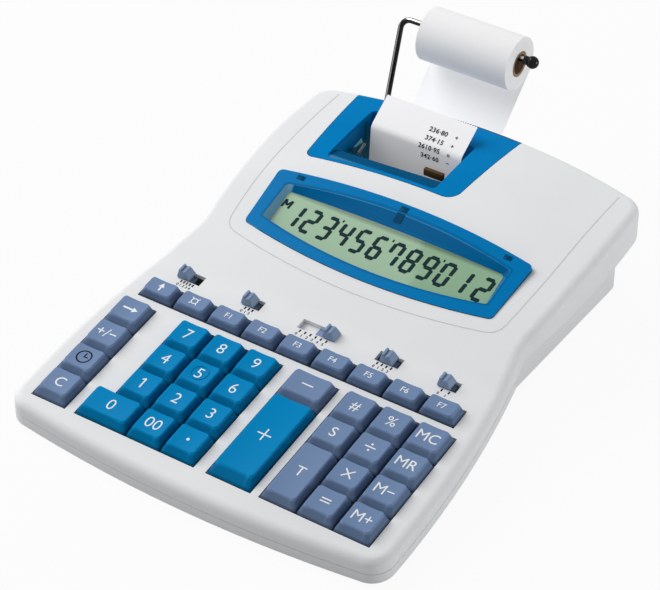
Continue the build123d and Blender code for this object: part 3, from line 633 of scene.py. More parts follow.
def lettering(bm, words, height, center=(0, 0), weight=0.0, spacing=1.0):
    """Add words with capitals of one height, centered on a point; weight thickens the strokes."""
    line = bpy.data.curves.new("words", "FONT")
    line.body = words
    line.size = height / CAPITAL_SHARE
    line.resolution_u = 5
    line.offset = weight
    line.space_character = spacing
    line.extrude = size_of("print_thickness") / 2
    holder = bpy.data.objects.new("words", line)
    bpy.context.scene.collection.objects.link(holder)
    bpy.context.view_layer.update()
    flat = bpy.data.meshes.new_from_object(holder.evaluated_get(bpy.context.evaluated_depsgraph_get()))
    before = set(bm.verts)
    bm.from_mesh(flat)
    bpy.data.objects.remove(holder)
    bpy.data.curves.remove(line)
    bpy.data.meshes.remove(flat)
    made = [v for v in bm.verts if v not in before]
    bmesh.ops.remove_doubles(bm, verts=made, dist=height / 2000)
    made = [v for v in bm.verts if v not in before]
    left, right = min(v.co.x for v in made), max(v.co.x for v in made)
    middle = Vector(((left + right) / 2, height / 2, -size_of("print_thickness") / 2))
    bmesh.ops.translate(bm, vec=Vector((*center, 0)) - middle, verts=made)
    return made


# Keys: the mark on each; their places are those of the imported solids

BLUE_KEYS = {**{str(digit): str(digit) for digit in range(10)}, "00": "00", "point": "point", "plus": "plus"}
SLATE_KEYS = {"backspace": "back", "sign": "+/−", "clock": "clock", "clear": "C", "minus": "minus",
              "number_mark": "#", "percent": "%", "memory_clear": "MC", "subtotal": "S", "divide": "divide",
              "memory_recall": "MR", "times": "times", "memory_minus": "M−", "equals": "equals",
              "memory_plus": "M+", "total": "T"}
FUNCTION_KEYS = {"feed": "feed", "currency": "currency", **{f"function_{n}": f"F{n}" for n in range(1, 8)}}
# How far a key's top lies inside its foot; cuts across its hollow; outline of the ring round the 5
KEY_SKIRT, SIDE_INSET, BACK_INSET = 1.3, 2.4, 0.7
FRONT_INSET, PLUS_INSET, FUNCTION_INSET = 4.1, 6.2, 2.2
DISH_CUTS, RING_SINK = 5, 0.08
RING_OUTLINE = [(4.1, 0), (4.3, 0.4), (4.7, 0.4), (4.9, 0)]


class Key:
    """Where a key stands on the deck, how large it is and what it carries."""

    def __init__(self, name, mark, finish, front):
        low, high, _, self.place = deck_stand("key_" + name)
        self.name = name
        self.mark = mark
        self.finish = finish
        self.width, self.depth, self.height = high.x - low.x, high.y - low.y, high.z
        self.front = front
        self.top_middle = (front - BACK_INSET) / 2

    def dished(self, u):
        """Height of the hollow top at a distance from the cap's middle."""
        half = self.width / 2 - SIDE_INSET
        return self.height - size_of("dish") * (1 - min(1.0, (u / half) ** 2))


def key_table():
    """All the keys."""
    groups = ((BLUE_KEYS, "blue", FRONT_INSET), (SLATE_KEYS, "slate", FRONT_INSET),
              (FUNCTION_KEYS, "slate", FUNCTION_INSET))
    return [Key(name, mark, finish, PLUS_INSET if mark == "plus" else inset)
            for marks, finish, inset in groups for name, mark in marks.items()]


def cap_shape(key):
    """A tapered cap with a skirt, rounded corners and a hollow top."""
    bm = bmesh.new()
    block(bm, (-key.width / 2, -key.depth / 2, 0), (key.width / 2, key.depth / 2, key.height))
    for v in bm.verts:
        if v.co.z > 0:
            v.co.x -= SIDE_INSET if v.co.x > 0 else -SIDE_INSET
            v.co.y += key.front if v.co.y < 0 else -BACK_INSET
    base = [f for f in bm.faces if f.normal.z < -0.9]
    skirt = bmesh.ops.extrude_face_region(bm, geom=base)["geom"]
    bmesh.ops.delete(bm, geom=base, context="FACES")
    bmesh.ops.translate(bm, vec=(0, 0, -KEY_SKIRT), verts=verts_in(skirt))
    uprights = [e for e in bm.edges if abs(e.verts[0].co.z - e.verts[1].co.z) > 0.5]
    rounded(bm, uprights, size_of("cap_corner"), 4)
    inner = key.width / 2 - SIDE_INSET - size_of("cap_corner")
    for cut in range(-DISH_CUTS, DISH_CUTS + 1):
        bmesh.ops.bisect_plane(bm, geom=bm.verts[:] + bm.edges[:] + bm.faces[:],
                               plane_co=(inner * cut / DISH_CUTS, 0, 0), plane_no=(1, 0, 0))
    for v in bm.verts:
        if v.co.z > key.height - 0.01:
            v.co.z = key.dished(v.co.x)
    bmesh.ops.recalc_face_normals(bm, faces=bm.faces)
    rim = [e for e in bm.edges if len(e.link_faces) == 2
           and min(v.co.z for v in e.verts) > key.height / 2
           and sum(f.normal.z > 0.9 for f in e.link_faces) == 1]
    rounded(bm, rim, size_of("cap_round"), 3)
    return bm


class CALCULATOR_OT_key_caps(bpy.types.Operator):
    """Mould the key caps, with dished tops and rounded edges"""

    bl_idname = "calculator.key_caps"
    bl_label = "Key caps"

    def execute(self, context):
        for key in key_table():
            bm = cap_shape(key)
            if key.name == "5":
                ring = lathe(bm, RING_OUTLINE, 56)
                for vert in ring:
                    vert.co.z += key.dished(vert.co.x) - RING_SINK
                    vert.co.y += key.top_middle
            node = "key_" + key.name
            put("cap_" + key.name, bm, key.place, key.finish, node, (node,))
        return {"FINISHED"}


# Marks that are drawn and not lettered: radius and width of a ring, width and ends of strokes, center and
# radius of dots, radius, center and turn of an arrow's head
STROKE = 0.75
DIAGONALS = ((1, 1), (1, -1), (-1, 1), (-1, -1))
RINGS = {"clock": (3.9, 0.8), "currency": (1.7, 0.55)}
STROKES = {
    "plus": (STROKE, (((-3.9, 0), (3.9, 0)), ((0, -3.9), (0, 3.9)))),
    "minus": (STROKE, (((-3.3, 0), (3.3, 0)),)),
    "equals": (STROKE, (((-2.7, 0.95), (2.7, 0.95)), ((-2.7, -0.95), (2.7, -0.95)))),
    "divide": (STROKE, (((-2.9, 0), (2.9, 0)),)),
    "times": (STROKE, (((-2.6, -2.6), (2.6, 2.6)), ((-2.6, 2.6), (2.6, -2.6)))),
    "back": (1.1, (((-4.0, 0), (2.4, 0)),)),
    "feed": (1.0, (((0, -2.6), (0, 1.0)),)),
    "clock": (0.7, (((0, -0.3), (0, 2.7)), ((-0.3, 0), (2.3, 0)))),
    "currency": (0.55, [((x * 1.25, y * 1.25), (x * 2.3, y * 2.3)) for x, y in DIAGONALS]),
    "point": (STROKE, ()),
}
DOTS = {"divide": (((0, 2.0), 0.62), ((0, -2.0), 0.62)), "point": (((0, -0.4), 0.85),)}
HEADS = {"back": (2.1, (2.7, 0), -pi / 2), "feed": (2.0, (0, 1.0), 0)}


def draw_mark(bm, mark, ink):
    """One mark in the middle of the plane, from strokes or letters."""
    if mark not in STROKES:
        kind = "small_letter" if mark.startswith("F") else "digit" if mark.isdigit() else "letter"
        height = size_of(kind)
        lettering(bm, mark, height, weight=-0.07 if mark.isdigit() else 0.0)
        if mark == "1":
            bar(bm, (-1.6, height / 2 - 1.7), (0, height / 2 - 0.35), STROKE, ink)
        return
    if mark in RINGS:
        disc_ring(bm, (0, 0), *RINGS[mark], ink)
    width, strokes = STROKES[mark]
    for start, end in strokes:
        bar(bm, start, end, width, ink)
    for center, radius in DOTS.get(mark, ()):
        dot(bm, center, radius, ink)
    if mark in HEADS:
        radius, center, turn = HEADS[mark]
        head = prism(bm, 3, radius, ink)
        bmesh.ops.rotate(bm, matrix=Matrix.Rotation(turn, 3, "Z"), verts=head)
        bmesh.ops.translate(bm, vec=(*center, ink / 2), verts=head)


class CALCULATOR_OT_key_legends(bpy.types.Operator):
    """Print the marks on the key caps, following the hollow of each top"""

    bl_idname = "calculator.key_legends"
    bl_label = "Key legends"

    def execute(self, context):
        ink = size_of("print_thickness")
        for key in key_table():
            bm = bmesh.new()
            draw_mark(bm, key.mark, ink)
            for vert in bm.verts:
                vert.co.z += key.dished(vert.co.x) - ink / 3
                vert.co.y += key.top_middle
            finish = "ink" if key.mark == "clock" else "legend"
            slot = "black_plastic" if key.mark == "clock" else "paper"
            put("legend_" + key.name, bm, key.place, finish, "key_" + key.name)
        return {"FINISHED"}


# Slide switches: length of each slot, stops marked in front of it and the end at which its knob rests

SLOT_LENGTHS, STOPS = (13.0, 10.2, 21.6, 13.8, 9.8), (5, 3, 6, 4, 2)
RESTS = (-1, -1, 1, 0, -1)
SLOT_DEPTH, KNOB_NECK, SWITCH_CLEARANCE = 6.7, 5.0, 0.35
KNOB_WIDTH, KNOB_DEPTH, KNOB_HEIGHT = 7.9, 7.0, 4.4
KNOB_LEFT, KNOB_RIGHT, KNOB_END = 1.2, 2.0, 0.7
RIBS = ((-2.6, -1.2, 1.0), (0.2, 1.6, 0.6))
# The plate under the case that holds a knob, and the slide that fills the long slot beside its knob
PLATE_HALF, PLATE_RIM, PLATE_FOOT, PLATE_TOP, NECK_TOP = 4.0, 1.5, -4.4, -3.2, 1.0
LONG_SWITCH, SLIDE_PALE, SLIDE_DARK, SLIDE_RIM = 3, 20.4, 5.4, 1.0
SLIDE_FOOT, DARK_TOP, PALE_TOP = -3.6, -2.7, -2.75
TICK_GAP, TICK_LENGTH, TICK_WIDTH, STOP_LETTER, STOP_SHIFT, STOP_DROP = 0.5, 1.8, 0.85, 1.7, 0.7, 3.3


class CALCULATOR_OT_switches(bpy.types.Operator):
    """Mould the switch knobs and print the stops in front of their slots"""

    bl_idname = "calculator.switches"
    bl_label = "Slide switches"

    def knob(self, number):
        """One knob with its neck and plate; returns where it stands."""
        node = f"switch_knob_{number}"
        _, _, middle, place = deck_stand(node)
        bm = bmesh.new()
        grip = block(bm, (-KNOB_WIDTH / 2, -KNOB_DEPTH / 2, SWITCH_CLEARANCE),
                     (KNOB_WIDTH / 2, KNOB_DEPTH / 2, KNOB_HEIGHT))
        for v in grip:
            if v.co.z > KNOB_HEIGHT / 2:
                v.co.x += KNOB_LEFT if v.co.x < 0 else -KNOB_RIGHT
                v.co.y += KNOB_END if v.co.y < 0 else -KNOB_END
        rounded(bm, edges_of(grip), 0.5)
        half = KNOB_DEPTH / 2 - KNOB_END - 0.1
        for left, right, rise in RIBS:
            soft_block(bm, (left, -half, KNOB_HEIGHT - 1), (right, half, KNOB_HEIGHT + rise), 0.35, 3)
        neck = SLOT_DEPTH / 2 - SWITCH_CLEARANCE
        block(bm, (-KNOB_NECK / 2, -neck, PLATE_TOP), (KNOB_NECK / 2, neck, NECK_TOP))
        block(bm, (-PLATE_HALF, -neck - PLATE_RIM, PLATE_FOOT), (PLATE_HALF, neck + PLATE_RIM, PLATE_TOP))
        if number == LONG_SWITCH:
            side, joint = neck + SLIDE_RIM, -PLATE_HALF - SLIDE_DARK
            block(bm, (joint, -side, SLIDE_FOOT), (-PLATE_HALF, side, DARK_TOP))
            slide = bmesh.new()
            block(slide, (-SLIDE_PALE, -side, SLIDE_FOOT), (joint, side, PALE_TOP))
            put("long_slide", slide, place, "case", node)
        put(f"knob_{number}", bm, place, "knob", node, (node,))
        return middle

    def execute(self, context):
        ink = size_of("print_thickness")
        marks = bmesh.new()
        for number, (length, stops, rest) in enumerate(zip(SLOT_LENGTHS, STOPS, RESTS), 1):
            x, v = self.knob(number)
            free = (length - KNOB_NECK) / 2 - SWITCH_CLEARANCE
            front = v - SLOT_DEPTH / 2 - TICK_GAP
            for stop in range(stops):
                at = x - rest * free + free * (2 * stop / (stops - 1) - 1)
                bar(marks, (at, front - TICK_LENGTH), (at, front), TICK_WIDTH, ink)
                lettering(marks, str(stop), STOP_LETTER, (at - STOP_SHIFT, front - STOP_DROP), 0.05)
        bmesh.ops.translate(marks, vec=(0, 0, -ink / 3), verts=marks.verts)
        put("switch_marks", marks, DECK, "ink", "case")
        return {"FINISHED"}


# Display

SHOWN = "123456789012"
DIGIT_STEP, DIGIT_WIDTH, SEGMENT_WIDTH, DIGIT_LEAN = 10.25, 5.4, 2.2, 0.12
FIRST_DIGIT, DIGIT_FOOT, LAST_PLACE, LAST_GAP = -54.9, 1.2, 11, 2.0
LIT = {"0": "abcdef", "1": "bc", "2": "abged", "3": "abgcd", "4": "fgbc", "5": "afgcd", "6": "afgedc",
       "7": "fabc", "8": "abcdefg", "9": "abcdfg"}
HEXAGON, POINTED_ENDS = 1.732, 1.3
# Thousands marks after some places, and the M at the upper left
MARKED, MARK_SIDE, MARK_LOW, MARK_HIGH, MARK_WIDTH = (2, 5, 8), 2.3, -0.2, 1.3, 0.9
M_CORNERS, M_WIDTH = ((-2.0, -2.5), (-2.0, 2.5), (0, -0.8), (2.0, 2.5), (2.0, -2.5)), 1.3
M_BEFORE, M_DROP = 7.6, 1.9
# Clips at the frame's back edge (middle, front and back of each) and the tongue in front of the middle one
CLIPS = ((-63.5, 35.6, 38.6), (-2.0, 39.9, 43.6), (63.0, 35.6, 38.6))
CLIP_HALF, CLIP_FOOT, CLIP_TOP = 2.4, -0.6, 0.12
TONGUE_LOW, TONGUE_HIGH = (-2.2, -2.75, 0), (2.2, 2.75, 0.15)
TONGUE_TILT, TONGUE_PLACE = 15, (-2.0, 36.2, -0.7)


def segment(bm, start, end, width, thickness):
    """A bar with pointed ends, from a stretched hexagon."""
    start, end = Vector((*start, 0)), Vector((*end, 0))
    run = end - start
    made = prism(bm, 6, width / HEXAGON, thickness)
    bmesh.ops.rotate(bm, matrix=Matrix.Rotation(pi / 2, 3, "Z"), verts=made)
    for v in made:
        v.co.x += (run.length - POINTED_ENDS * width) / 2 * (1 if v.co.x > 0 else -1)
    turn = Matrix.Translation((start + end) / 2) @ Matrix.Rotation(atan2(run.y, run.x), 4, "Z")
    bmesh.ops.transform(bm, matrix=turn, verts=made)
    return made


class CALCULATOR_OT_display(bpy.types.Operator):
    """Finish the display frame and glass and draw the digits on it"""

    bl_idname = "calculator.display"
    bl_label = "Display"

    def execute(self, context):
        coat_node("display_window", "frame")
        coat_node("display_glass", "display_glass")
        ink = size_of("print_thickness")
        tall, half = size_of("segment_height"), DIGIT_WIDTH / 2
        low, mid, high = DIGIT_FOOT, DIGIT_FOOT + tall / 2, DIGIT_FOOT + tall
        strokes = {"a": ((-half, high), (half, high)), "b": ((half, mid), (half, high)),
                   "c": ((half, low), (half, mid)), "d": ((-half, low), (half, low)),
                   "e": ((-half, low), (-half, mid)), "f": ((-half, mid), (-half, high)),
                   "g": ((-half, mid), (half, mid))}
        digits = bmesh.new()
        for place, digit in enumerate(SHOWN):
            made = []
            for name in LIT[digit]:
                made += segment(digits, *strokes[name], SEGMENT_WIDTH, ink)
            if place in MARKED:
                side = half + MARK_SIDE
                made += bar(digits, (side, high + MARK_LOW), (side, high + MARK_HIGH), MARK_WIDTH, ink)
            for v in made:
                v.co.x += FIRST_DIGIT + place * DIGIT_STEP + DIGIT_LEAN * (v.co.y - mid)
                v.co.x += LAST_GAP if place == LAST_PLACE else 0
        for start, end in zip(M_CORNERS, M_CORNERS[1:]):
            for v in bar(digits, start, end, M_WIDTH, ink):
                v.co.x += FIRST_DIGIT - M_BEFORE + DIGIT_LEAN * v.co.y
                v.co.y += high - M_DROP
        bmesh.ops.translate(digits, vec=(0, 0, ink / 4), verts=digits.verts)
        put("display_digits", digits, GLASS_PLANE, "segment", "case")
        clips = bmesh.new()
        for x, front, back in CLIPS:
            soft_block(clips, (x - CLIP_HALF, front, CLIP_FOOT), (x + CLIP_HALF, back, CLIP_TOP), 0.1)
        tongue = block(clips, TONGUE_LOW, TONGUE_HIGH)
        bmesh.ops.rotate(clips, matrix=Matrix.Rotation(radians(TONGUE_TILT), 3, "X"), verts=tongue)
        bmesh.ops.translate(clips, vec=TONGUE_PLACE, verts=tongue)
        put("display_clips", clips, WINDOW_PLANE, "clip", "case")
        return {"FINISHED"}


# Paper

PAPER_X, PAPER_WIDTH = -29.5, 57.0
ROLL_RADIUS, PLATEN_RADIUS, PAPER_GAP, CAD_PAPER = 15.2, 6.5, 0.35, 0.4
CREASE, TEAR, CREASE_ROUND = Vector((255.6, 58.0)), Vector((272.1, 69.2)), 5.0
CORE_RADIUS, CORE_BORE, CORE_LINE = 7.3, 5.7, 0.15
ROLL_FIT, ROLL_BANDS, BAND_DIP, ROLL_EDGE = 0.1, 9, 0.18, 0.25
STRIP_CELLS, TEAR_SHORT, TOOTH = 76, 0.6, 0.55
TAPE_LINES = (("236·80", "+"), ("374·15", "+"), ("2610·95", "o"), ("342·60", "−"))
LINE_FIRST, LINE_STEP, TAPE_LETTER = 10.0, 5.3, 2.75
FIGURES_RIGHT, SIGN_MIDDLE, PRINT_LIFT = -14.6, -9.0, 0.10


def in_side_view(point):
    """A joint's place as (y, z) in millimetres behind the front edge and over the desk."""
    return Vector(((point.y - FRONT_Y) * 1000, point.z * 1000))


class CALCULATOR_OT_paper(bpy.types.Operator):
    """Wind the roll and lead the paper round the platen and out of the window"""

    bl_idname = "calculator.paper"
    bl_label = "Paper"

    def roll(self):
        """The wound paper, with fine bands in its ends, and its card core."""
        half = PAPER_WIDTH / 2
        inner = CORE_RADIUS + ROLL_FIT
        outline = []
        for step in range(ROLL_BANDS + 1):
            radius = inner + (ROLL_RADIUS - inner) * step / ROLL_BANDS
            dip = BAND_DIP if step % 2 and step < ROLL_BANDS else 0.0
            outline.append((radius, half - dip - (ROLL_EDGE if step == ROLL_BANDS else 0.0)))
        outline += [(radius, -height) for radius, height in reversed(outline)]
        bm = bmesh.new()
        lathe(bm, outline, 96)
        turn = Matrix.Translation((PAPER_X, 0, 0)) @ Matrix.Rotation(pi / 2, 4, "Y")
        y, z = in_side_view(joint_places["roll_spin"])
        place = UPRIGHT @ Matrix.Translation((0, y, z)) @ turn
        put("wound_paper", bm, place, "roll", "roll", ("paper_roll",), 50.0)
        core = bmesh.new()
        side = [(CORE_BORE, half), (CORE_BORE + CORE_LINE, half), (CORE_RADIUS, half)]
        lathe(core, side + [(radius, -height) for radius, height in reversed(side)], 64)
        put("card_core", core, place, "card", "roll", ("roll_core",), 50.0)

    def strip(self):
        """An edge across the paper is drawn along its path: straight runs are extruded, bends are spun."""
        roll, platen = in_side_view(joint_places["roll_spin"]), in_side_view(joint_places["platen_spin"])
        wrap = PAPER_GAP + CAD_PAPER / 2
        span = roll - platen
        lean = (ROLL_RADIUS - PLATEN_RADIUS) / span.length
        level = sqrt(1 - lean ** 2)
        back = Vector((level * span.y + lean * span.x, lean * span.y - level * span.x)) / span.length
        reach = PLATEN_RADIUS + wrap
        rise = CREASE - platen
        across = reach / rise.length
        along = sqrt(1 - across ** 2)
        front = Vector((across * rise.x - along * rise.y, across * rise.y + along * rise.x)) / rise.length
        bm = bmesh.new()
        start = roll + back * (ROLL_RADIUS + wrap)
        made = bmesh.ops.create_grid(bm, x_segments=STRIP_CELLS, y_segments=1, size=0.5)["verts"]
        bmesh.ops.delete(bm, geom=[v for v in made if v.co.y > 0], context="VERTS")
        for v in bm.verts:
            v.co = (PAPER_X + v.co.x * PAPER_WIDTH, start.x, start.y)
        edge = bm.edges[:]

        def run(end, steps):
            nonlocal edge
            here = edge[0].verts[0].co
            step = Vector((0, (end.x - here.y) / steps, (end.y - here.z) / steps))
            for _ in range(steps):
                grown = bmesh.ops.extrude_edge_only(bm, edges=edge)["geom"]
                bmesh.ops.translate(bm, vec=step, verts=verts_in(grown))
                edge = [g for g in edges_in(grown)
                        if abs(g.verts[0].co.y - g.verts[1].co.y) < 1e-4
                        and abs(g.verts[0].co.z - g.verts[1].co.z) < 1e-4]

        def bend(center, angle, steps):
            nonlocal edge
            verts = list({v for e in edge for v in e.verts})
            last = bmesh.ops.spin(bm, geom=verts + edge, cent=(0, center.x, center.y), axis=(1, 0, 0),
                                  angle=angle, steps=steps)["geom_last"]
            edge = edges_in(last)

        run(platen + back * reach, 20)
        turn = atan2(front.y, front.x) - atan2(back.y, back.x)
        bend(platen, turn - 2 * pi if turn > 0 else turn, 18)
        up = (CREASE - (platen + front * reach)).normalized()
        away = (TEAR - CREASE).normalized()
        angle = acos(up.dot(away))
        trim = CREASE_ROUND * tan(angle / 2)
        run(CREASE - up * trim, 10)
        bend(CREASE - up * trim + Vector((up.y, -up.x)) * CREASE_ROUND, -angle, 8)
        run(TEAR - away * TEAR_SHORT, 8)
        last = {v for e in edge for v in e.verts}
        for v in last:
            tooth = round((v.co.x - PAPER_X) / PAPER_WIDTH * STRIP_CELLS) % 2
            v.co += Vector((0, away.x, away.y)) * (TOOTH if tooth else 0.0)
        bmesh.ops.remove_doubles(bm, verts=bm.verts, dist=1e-4)
        bmesh.ops.recalc_face_normals(bm, faces=bm.faces)
        bmesh.ops.solidify(bm, geom=bm.faces[:], thickness=size_of("paper_thickness"))
        put("paper_strip", bm, UPRIGHT, "paper", "case", ("paper_web",), 40.0)
        return up, away

    def entries(self, up, away):
        """Columns of figures that follow the paper over its crease."""
        angle = acos(up.dot(away))
        trim = CREASE_ROUND * tan(angle / 2)
        bm = bmesh.new()
        for number, (figures, sign) in enumerate(TAPE_LINES):
            line = LINE_FIRST - LINE_STEP * number
            made = lettering(bm, figures, TAPE_LETTER, weight=0.08, spacing=1.1)
            shift = FIGURES_RIGHT - max(v.co.x for v in made)
            bmesh.ops.translate(bm, vec=(shift, line, 0), verts=made)
            lettering(bm, sign, TAPE_LETTER * 0.85, (SIGN_MIDDLE, line), 0.06)
        for v in bm.verts:
            turned = angle * min(1.0, max(0.0, (v.co.y / trim + 1) / 2))
            outward = Matrix.Rotation(-turned, 2) @ Vector((-up.y, up.x))
            if abs(v.co.y) < trim:
                foot = CREASE - up * trim + Vector((up.y, -up.x)) * CREASE_ROUND + outward * CREASE_ROUND
            else:
                foot = CREASE + (away if v.co.y > 0 else up) * v.co.y
            side = foot + outward * (v.co.z + PRINT_LIFT)
            v.co = (v.co.x, side.x, side.y)
        put("tape_print", bm, UPRIGHT, "tape_ink", "case")

    def execute(self, context):
        self.roll()
        self.entries(*self.strip())
        return {"FINISHED"}


# Printer: the walls that hang from the edges of the cover's window, by opposite corners
LINER_FOOT, LINER_TOP, LINER_RISE, LINER_FRONT = 47.5, 56.9, 0.07, 226.0
LINER_WALLS = (((-63.15, LINER_FRONT), (-62.6, 265.9)), ((1.2, LINER_FRONT), (1.75, 265.9)),
               ((-62.6, 265.3), (1.2, 265.9)))

# Works seen behind the window, by opposite corners
WORKS_LEFT = -61.0
PLATE = (WORKS_LEFT, 238.5, 38.0), (WORKS_LEFT + 1.0, 250.5, 48.5)
LEVER = (WORKS_LEFT + 1.0, 240.5, 42.5), (WORKS_LEFT + 1.7, 242.7, 51.0)
POST = (-62.3, 257.3, 36.0), (-61.7, 258.9, 57.0)
RIBBON = (-19.0, 247.0, 45.5), (-7.0, 249.5, 49.8)
GUIDE_LEFT, GUIDE_THICKNESS, GUIDE_CORNERS = -61.9, 0.3, ((252.2, 50.2), (243.9, 48.6), (255.9, 38.7))
SPRING_RADIUS, SPRING_WIRE, SPRING_STEP, SPRING_TURNS, SPRING_STEPS = 0.95, 0.22, 0.055, 9, 126
SPRING_PLACE, SPRING_TILT = (WORKS_LEFT + 2.3, 243.6, 46.3), -70
PINS, PIN_OUT = ((240.3, 40.0), (248.7, 40.0), (248.7, 46.6)), 1.3


class CALCULATOR_OT_printer(bpy.types.Operator):
    """Finish the printer and its cover and add the small works behind the window"""

    bl_idname = "calculator.printer"
    bl_label = "Printer"

    def execute(self, context):
        coat_node("printer_cover", "cover")
        coat_node("printer_frame", "works")
        coat_node("platen_roller", "rubber")
        coat_node("print_carriage", "ribbon")
        self.bracket()
        self.liner()
        self.guide()
        self.ribbon()
        self.spring()
        return {"FINISHED"}

    def bracket(self):
        """The plate at the left with its lever, and the post behind it."""
        works = bmesh.new()
        soft_block(works, *PLATE, 0.3)
        soft_block(works, *LEVER, 0.25)
        block(works, *POST)
        put("works_bracket", works, UPRIGHT, "works", "case")

    def liner(self):
        """The walls round the cover's window, cut off along the cover's slope."""
        liner = bmesh.new()
        for low, high in LINER_WALLS:
            for v in block(liner, (*low, LINER_FOOT), (*high, LINER_FOOT + 1)):
                if v.co.z > LINER_FOOT:
                    v.co.z = LINER_TOP + LINER_RISE * (v.co.y - LINER_FRONT)
        put("cover_liner", liner, UPRIGHT, "liner", "cover")

    def guide(self):
        """The pale three-cornered sheet beside the paper."""
        guide = bmesh.new()
        sheet = [guide.verts.new((GUIDE_LEFT, y, z)) for y, z in GUIDE_CORNERS]
        bmesh.ops.contextual_create(guide, geom=sheet)
        grown = bmesh.ops.extrude_face_region(guide, geom=guide.faces[:])["geom"]
        bmesh.ops.translate(guide, vec=(GUIDE_THICKNESS, 0, 0), verts=verts_in(grown))
        put("works_guide", guide, UPRIGHT, "pale_works", "case")

    def ribbon(self):
        """The brown block in front of the paper."""
        ribbon = bmesh.new()
        soft_block(ribbon, *RIBBON, 0.4)
        put("works_ribbon", ribbon, UPRIGHT, "ribbon", "case")

    def spring(self):
        """A coil spring and the pins beside it."""
        bright = bmesh.new()
        ring = bmesh.ops.create_circle(bright, segments=8, radius=SPRING_WIRE)["verts"]
        bmesh.ops.rotate(bright, matrix=Matrix.Rotation(pi / 2, 3, "X"), verts=ring)
        bmesh.ops.translate(bright, vec=(SPRING_RADIUS, 0, 0), verts=ring)
        bmesh.ops.spin(bright, geom=ring + edges_of(ring), cent=(0, 0, 0), axis=(0, 0, 1),
                       dvec=(0, 0, SPRING_STEP), angle=2 * pi * SPRING_TURNS, steps=SPRING_STEPS)
        bmesh.ops.holes_fill(bright, edges=[e for e in bright.edges if e.is_boundary])
        lay = Matrix.Translation(SPRING_PLACE) @ Matrix.Rotation(radians(SPRING_TILT), 4, "X")
        bmesh.ops.transform(bright, matrix=lay, verts=bright.verts)
        for y, z in PINS:
            pin = bmesh.ops.create_cone(bright, cap_ends=True, segments=16, radius1=0.9, radius2=0.7,
                                        depth=1.2)["verts"]
            seat = Matrix.Translation((WORKS_LEFT + PIN_OUT, y, z)) @ Matrix.Rotation(pi / 2, 4, "Y")
            bmesh.ops.transform(bright, matrix=seat, verts=pin)
        put("works_spring", bright, UPRIGHT, "steel", "case")


# Case, arm, fasteners

# The fine line on the hood in top view: half its width, its front corner, where its sides run straight, its
# rear end, the bow of its front and the rounding of its corners; the darker ribbon laid in it as its painted shade
GROOVE_HALF, GROOVE_FRONT, GROOVE_SIDE, GROOVE_END = 0.24, (82.5, 155.0), (87.2, 215.0), 272.0
GROOVE_BOW, GROOVE_ROUND, GROOVE_LIFT, GROOVE_SKIN, OVER_CASE = 9.0, 7.0, 0.04, 0.02, 150.0
FRONT_STEPS, SIDE_STEPS, CORNER_STEPS = 40, 30, 6


def groove_path():
    """The line round the display and the printer, from its left end round the front to its right end."""
    half, corner = GROOVE_FRONT
    straight, back = GROOVE_SIDE
    front = []
    for step in range(-FRONT_STEPS, FRONT_STEPS + 1):
        x = (half - GROOVE_ROUND) * step / FRONT_STEPS
        front.append(Vector((x, corner - GROOVE_BOW * (1 - (x / half) ** 2))))
    side = []
    for step in range(SIDE_STEPS + 1):
        y = corner + GROOVE_ROUND + (GROOVE_END - corner - GROOVE_ROUND) * step / SIDE_STEPS
        share = (y - corner) / (back - corner)
        side.append(Vector((half + (straight - half) * share * (2 - share) if share < 1 else straight, y)))
    start, end, tip = front[-1], side[0], Vector(GROOVE_FRONT)
    bend = [start.lerp(tip, t).lerp(tip.lerp(end, t), t)
            for t in [step / CORNER_STEPS for step in range(1, CORNER_STEPS)]]
    right = bend + side
    left = [Vector((-point.x, point.y)) for point in reversed(right)]
    return left + front + right


class CALCULATOR_OT_case(bpy.types.Operator):
    """Finish the case, the wire arm, the boards, the screws and the feet"""

    bl_idname = "calculator.case"
    bl_label = "Case and arm"

    def execute(self, context):
        looks = {"upper_case": "case", "lower_case": "case", "paper_arm": "wire", "arm_knob": "black",
                 "key_mat": "mat", "main_board": "circuit", "rubber_feet": "rubber", "case_screws": "steel"}
        for node, finish in looks.items():
            coat_node(node, finish)
        self.groove()
        return {"FINISHED"}

    def groove(self):
        """Lay a darker ribbon on the floor of the fine line that runs round the display and the printer, as its
        painted shade.
        """
        solid = frame["nodes"]["upper_case"]
        skin = BVHTree.FromPolygons([solid.matrix_world @ v.co for v in solid.data.vertices],
                                    [face.vertices for face in solid.data.polygons])
        bm = bmesh.new()
        path = groove_path()
        rail = []
        for before, here, after in zip(path[:-2], path[1:-1], path[2:]):
            run = (after - before).normalized()
            side = Vector((-run.y, run.x)) * GROOVE_HALF
            place = UPRIGHT @ Vector((here.x, here.y, OVER_CASE))
            floor = skin.ray_cast(place, Vector((0, 0, -1)))[0].z * 1000 + GROOVE_LIFT
            rail.append([Vector((*(here + side), floor)), Vector((*(here - side), floor))])
        edge = bm.edges.new([bm.verts.new(end) for end in rail[0]])
        for ends in rail[1:]:
            grown = bmesh.ops.extrude_edge_only(bm, edges=[edge])["geom"]
            new = verts_in(grown)
            for vert in new:
                vert.co = min(ends, key=lambda end: (end - vert.co).length)
            edge = bm.edges.get(new)
        bmesh.ops.solidify(bm, geom=bm.faces[:], thickness=GROOVE_SKIN)
        put("hood_groove", bm, UPRIGHT, "groove", "case")


# Studio

SKY_LIGHT, FLOOR_SHOWN, FLOOR_COLOUR = 0.38, 0.94, (0.62, 0.63, 0.64)
# Place, aim, size and power of the lamps
KEY_LIGHT = (-1.2, 0.0, 1.15), (0, 0, 0.02), 1.4, 23.5
SIDE_LIGHT = (1.7, 0.6, 0.2), (0, 0.05, 0.03), 0.6, 11.0
VIEW_TARGET = Vector((-0.0347, 0.0167, 0.0))
VIEW_AZIMUTH, VIEW_ELEVATION, VIEW_DISTANCE, VIEW_LENS = 33.9, 37.4, 1.3826, 142.3


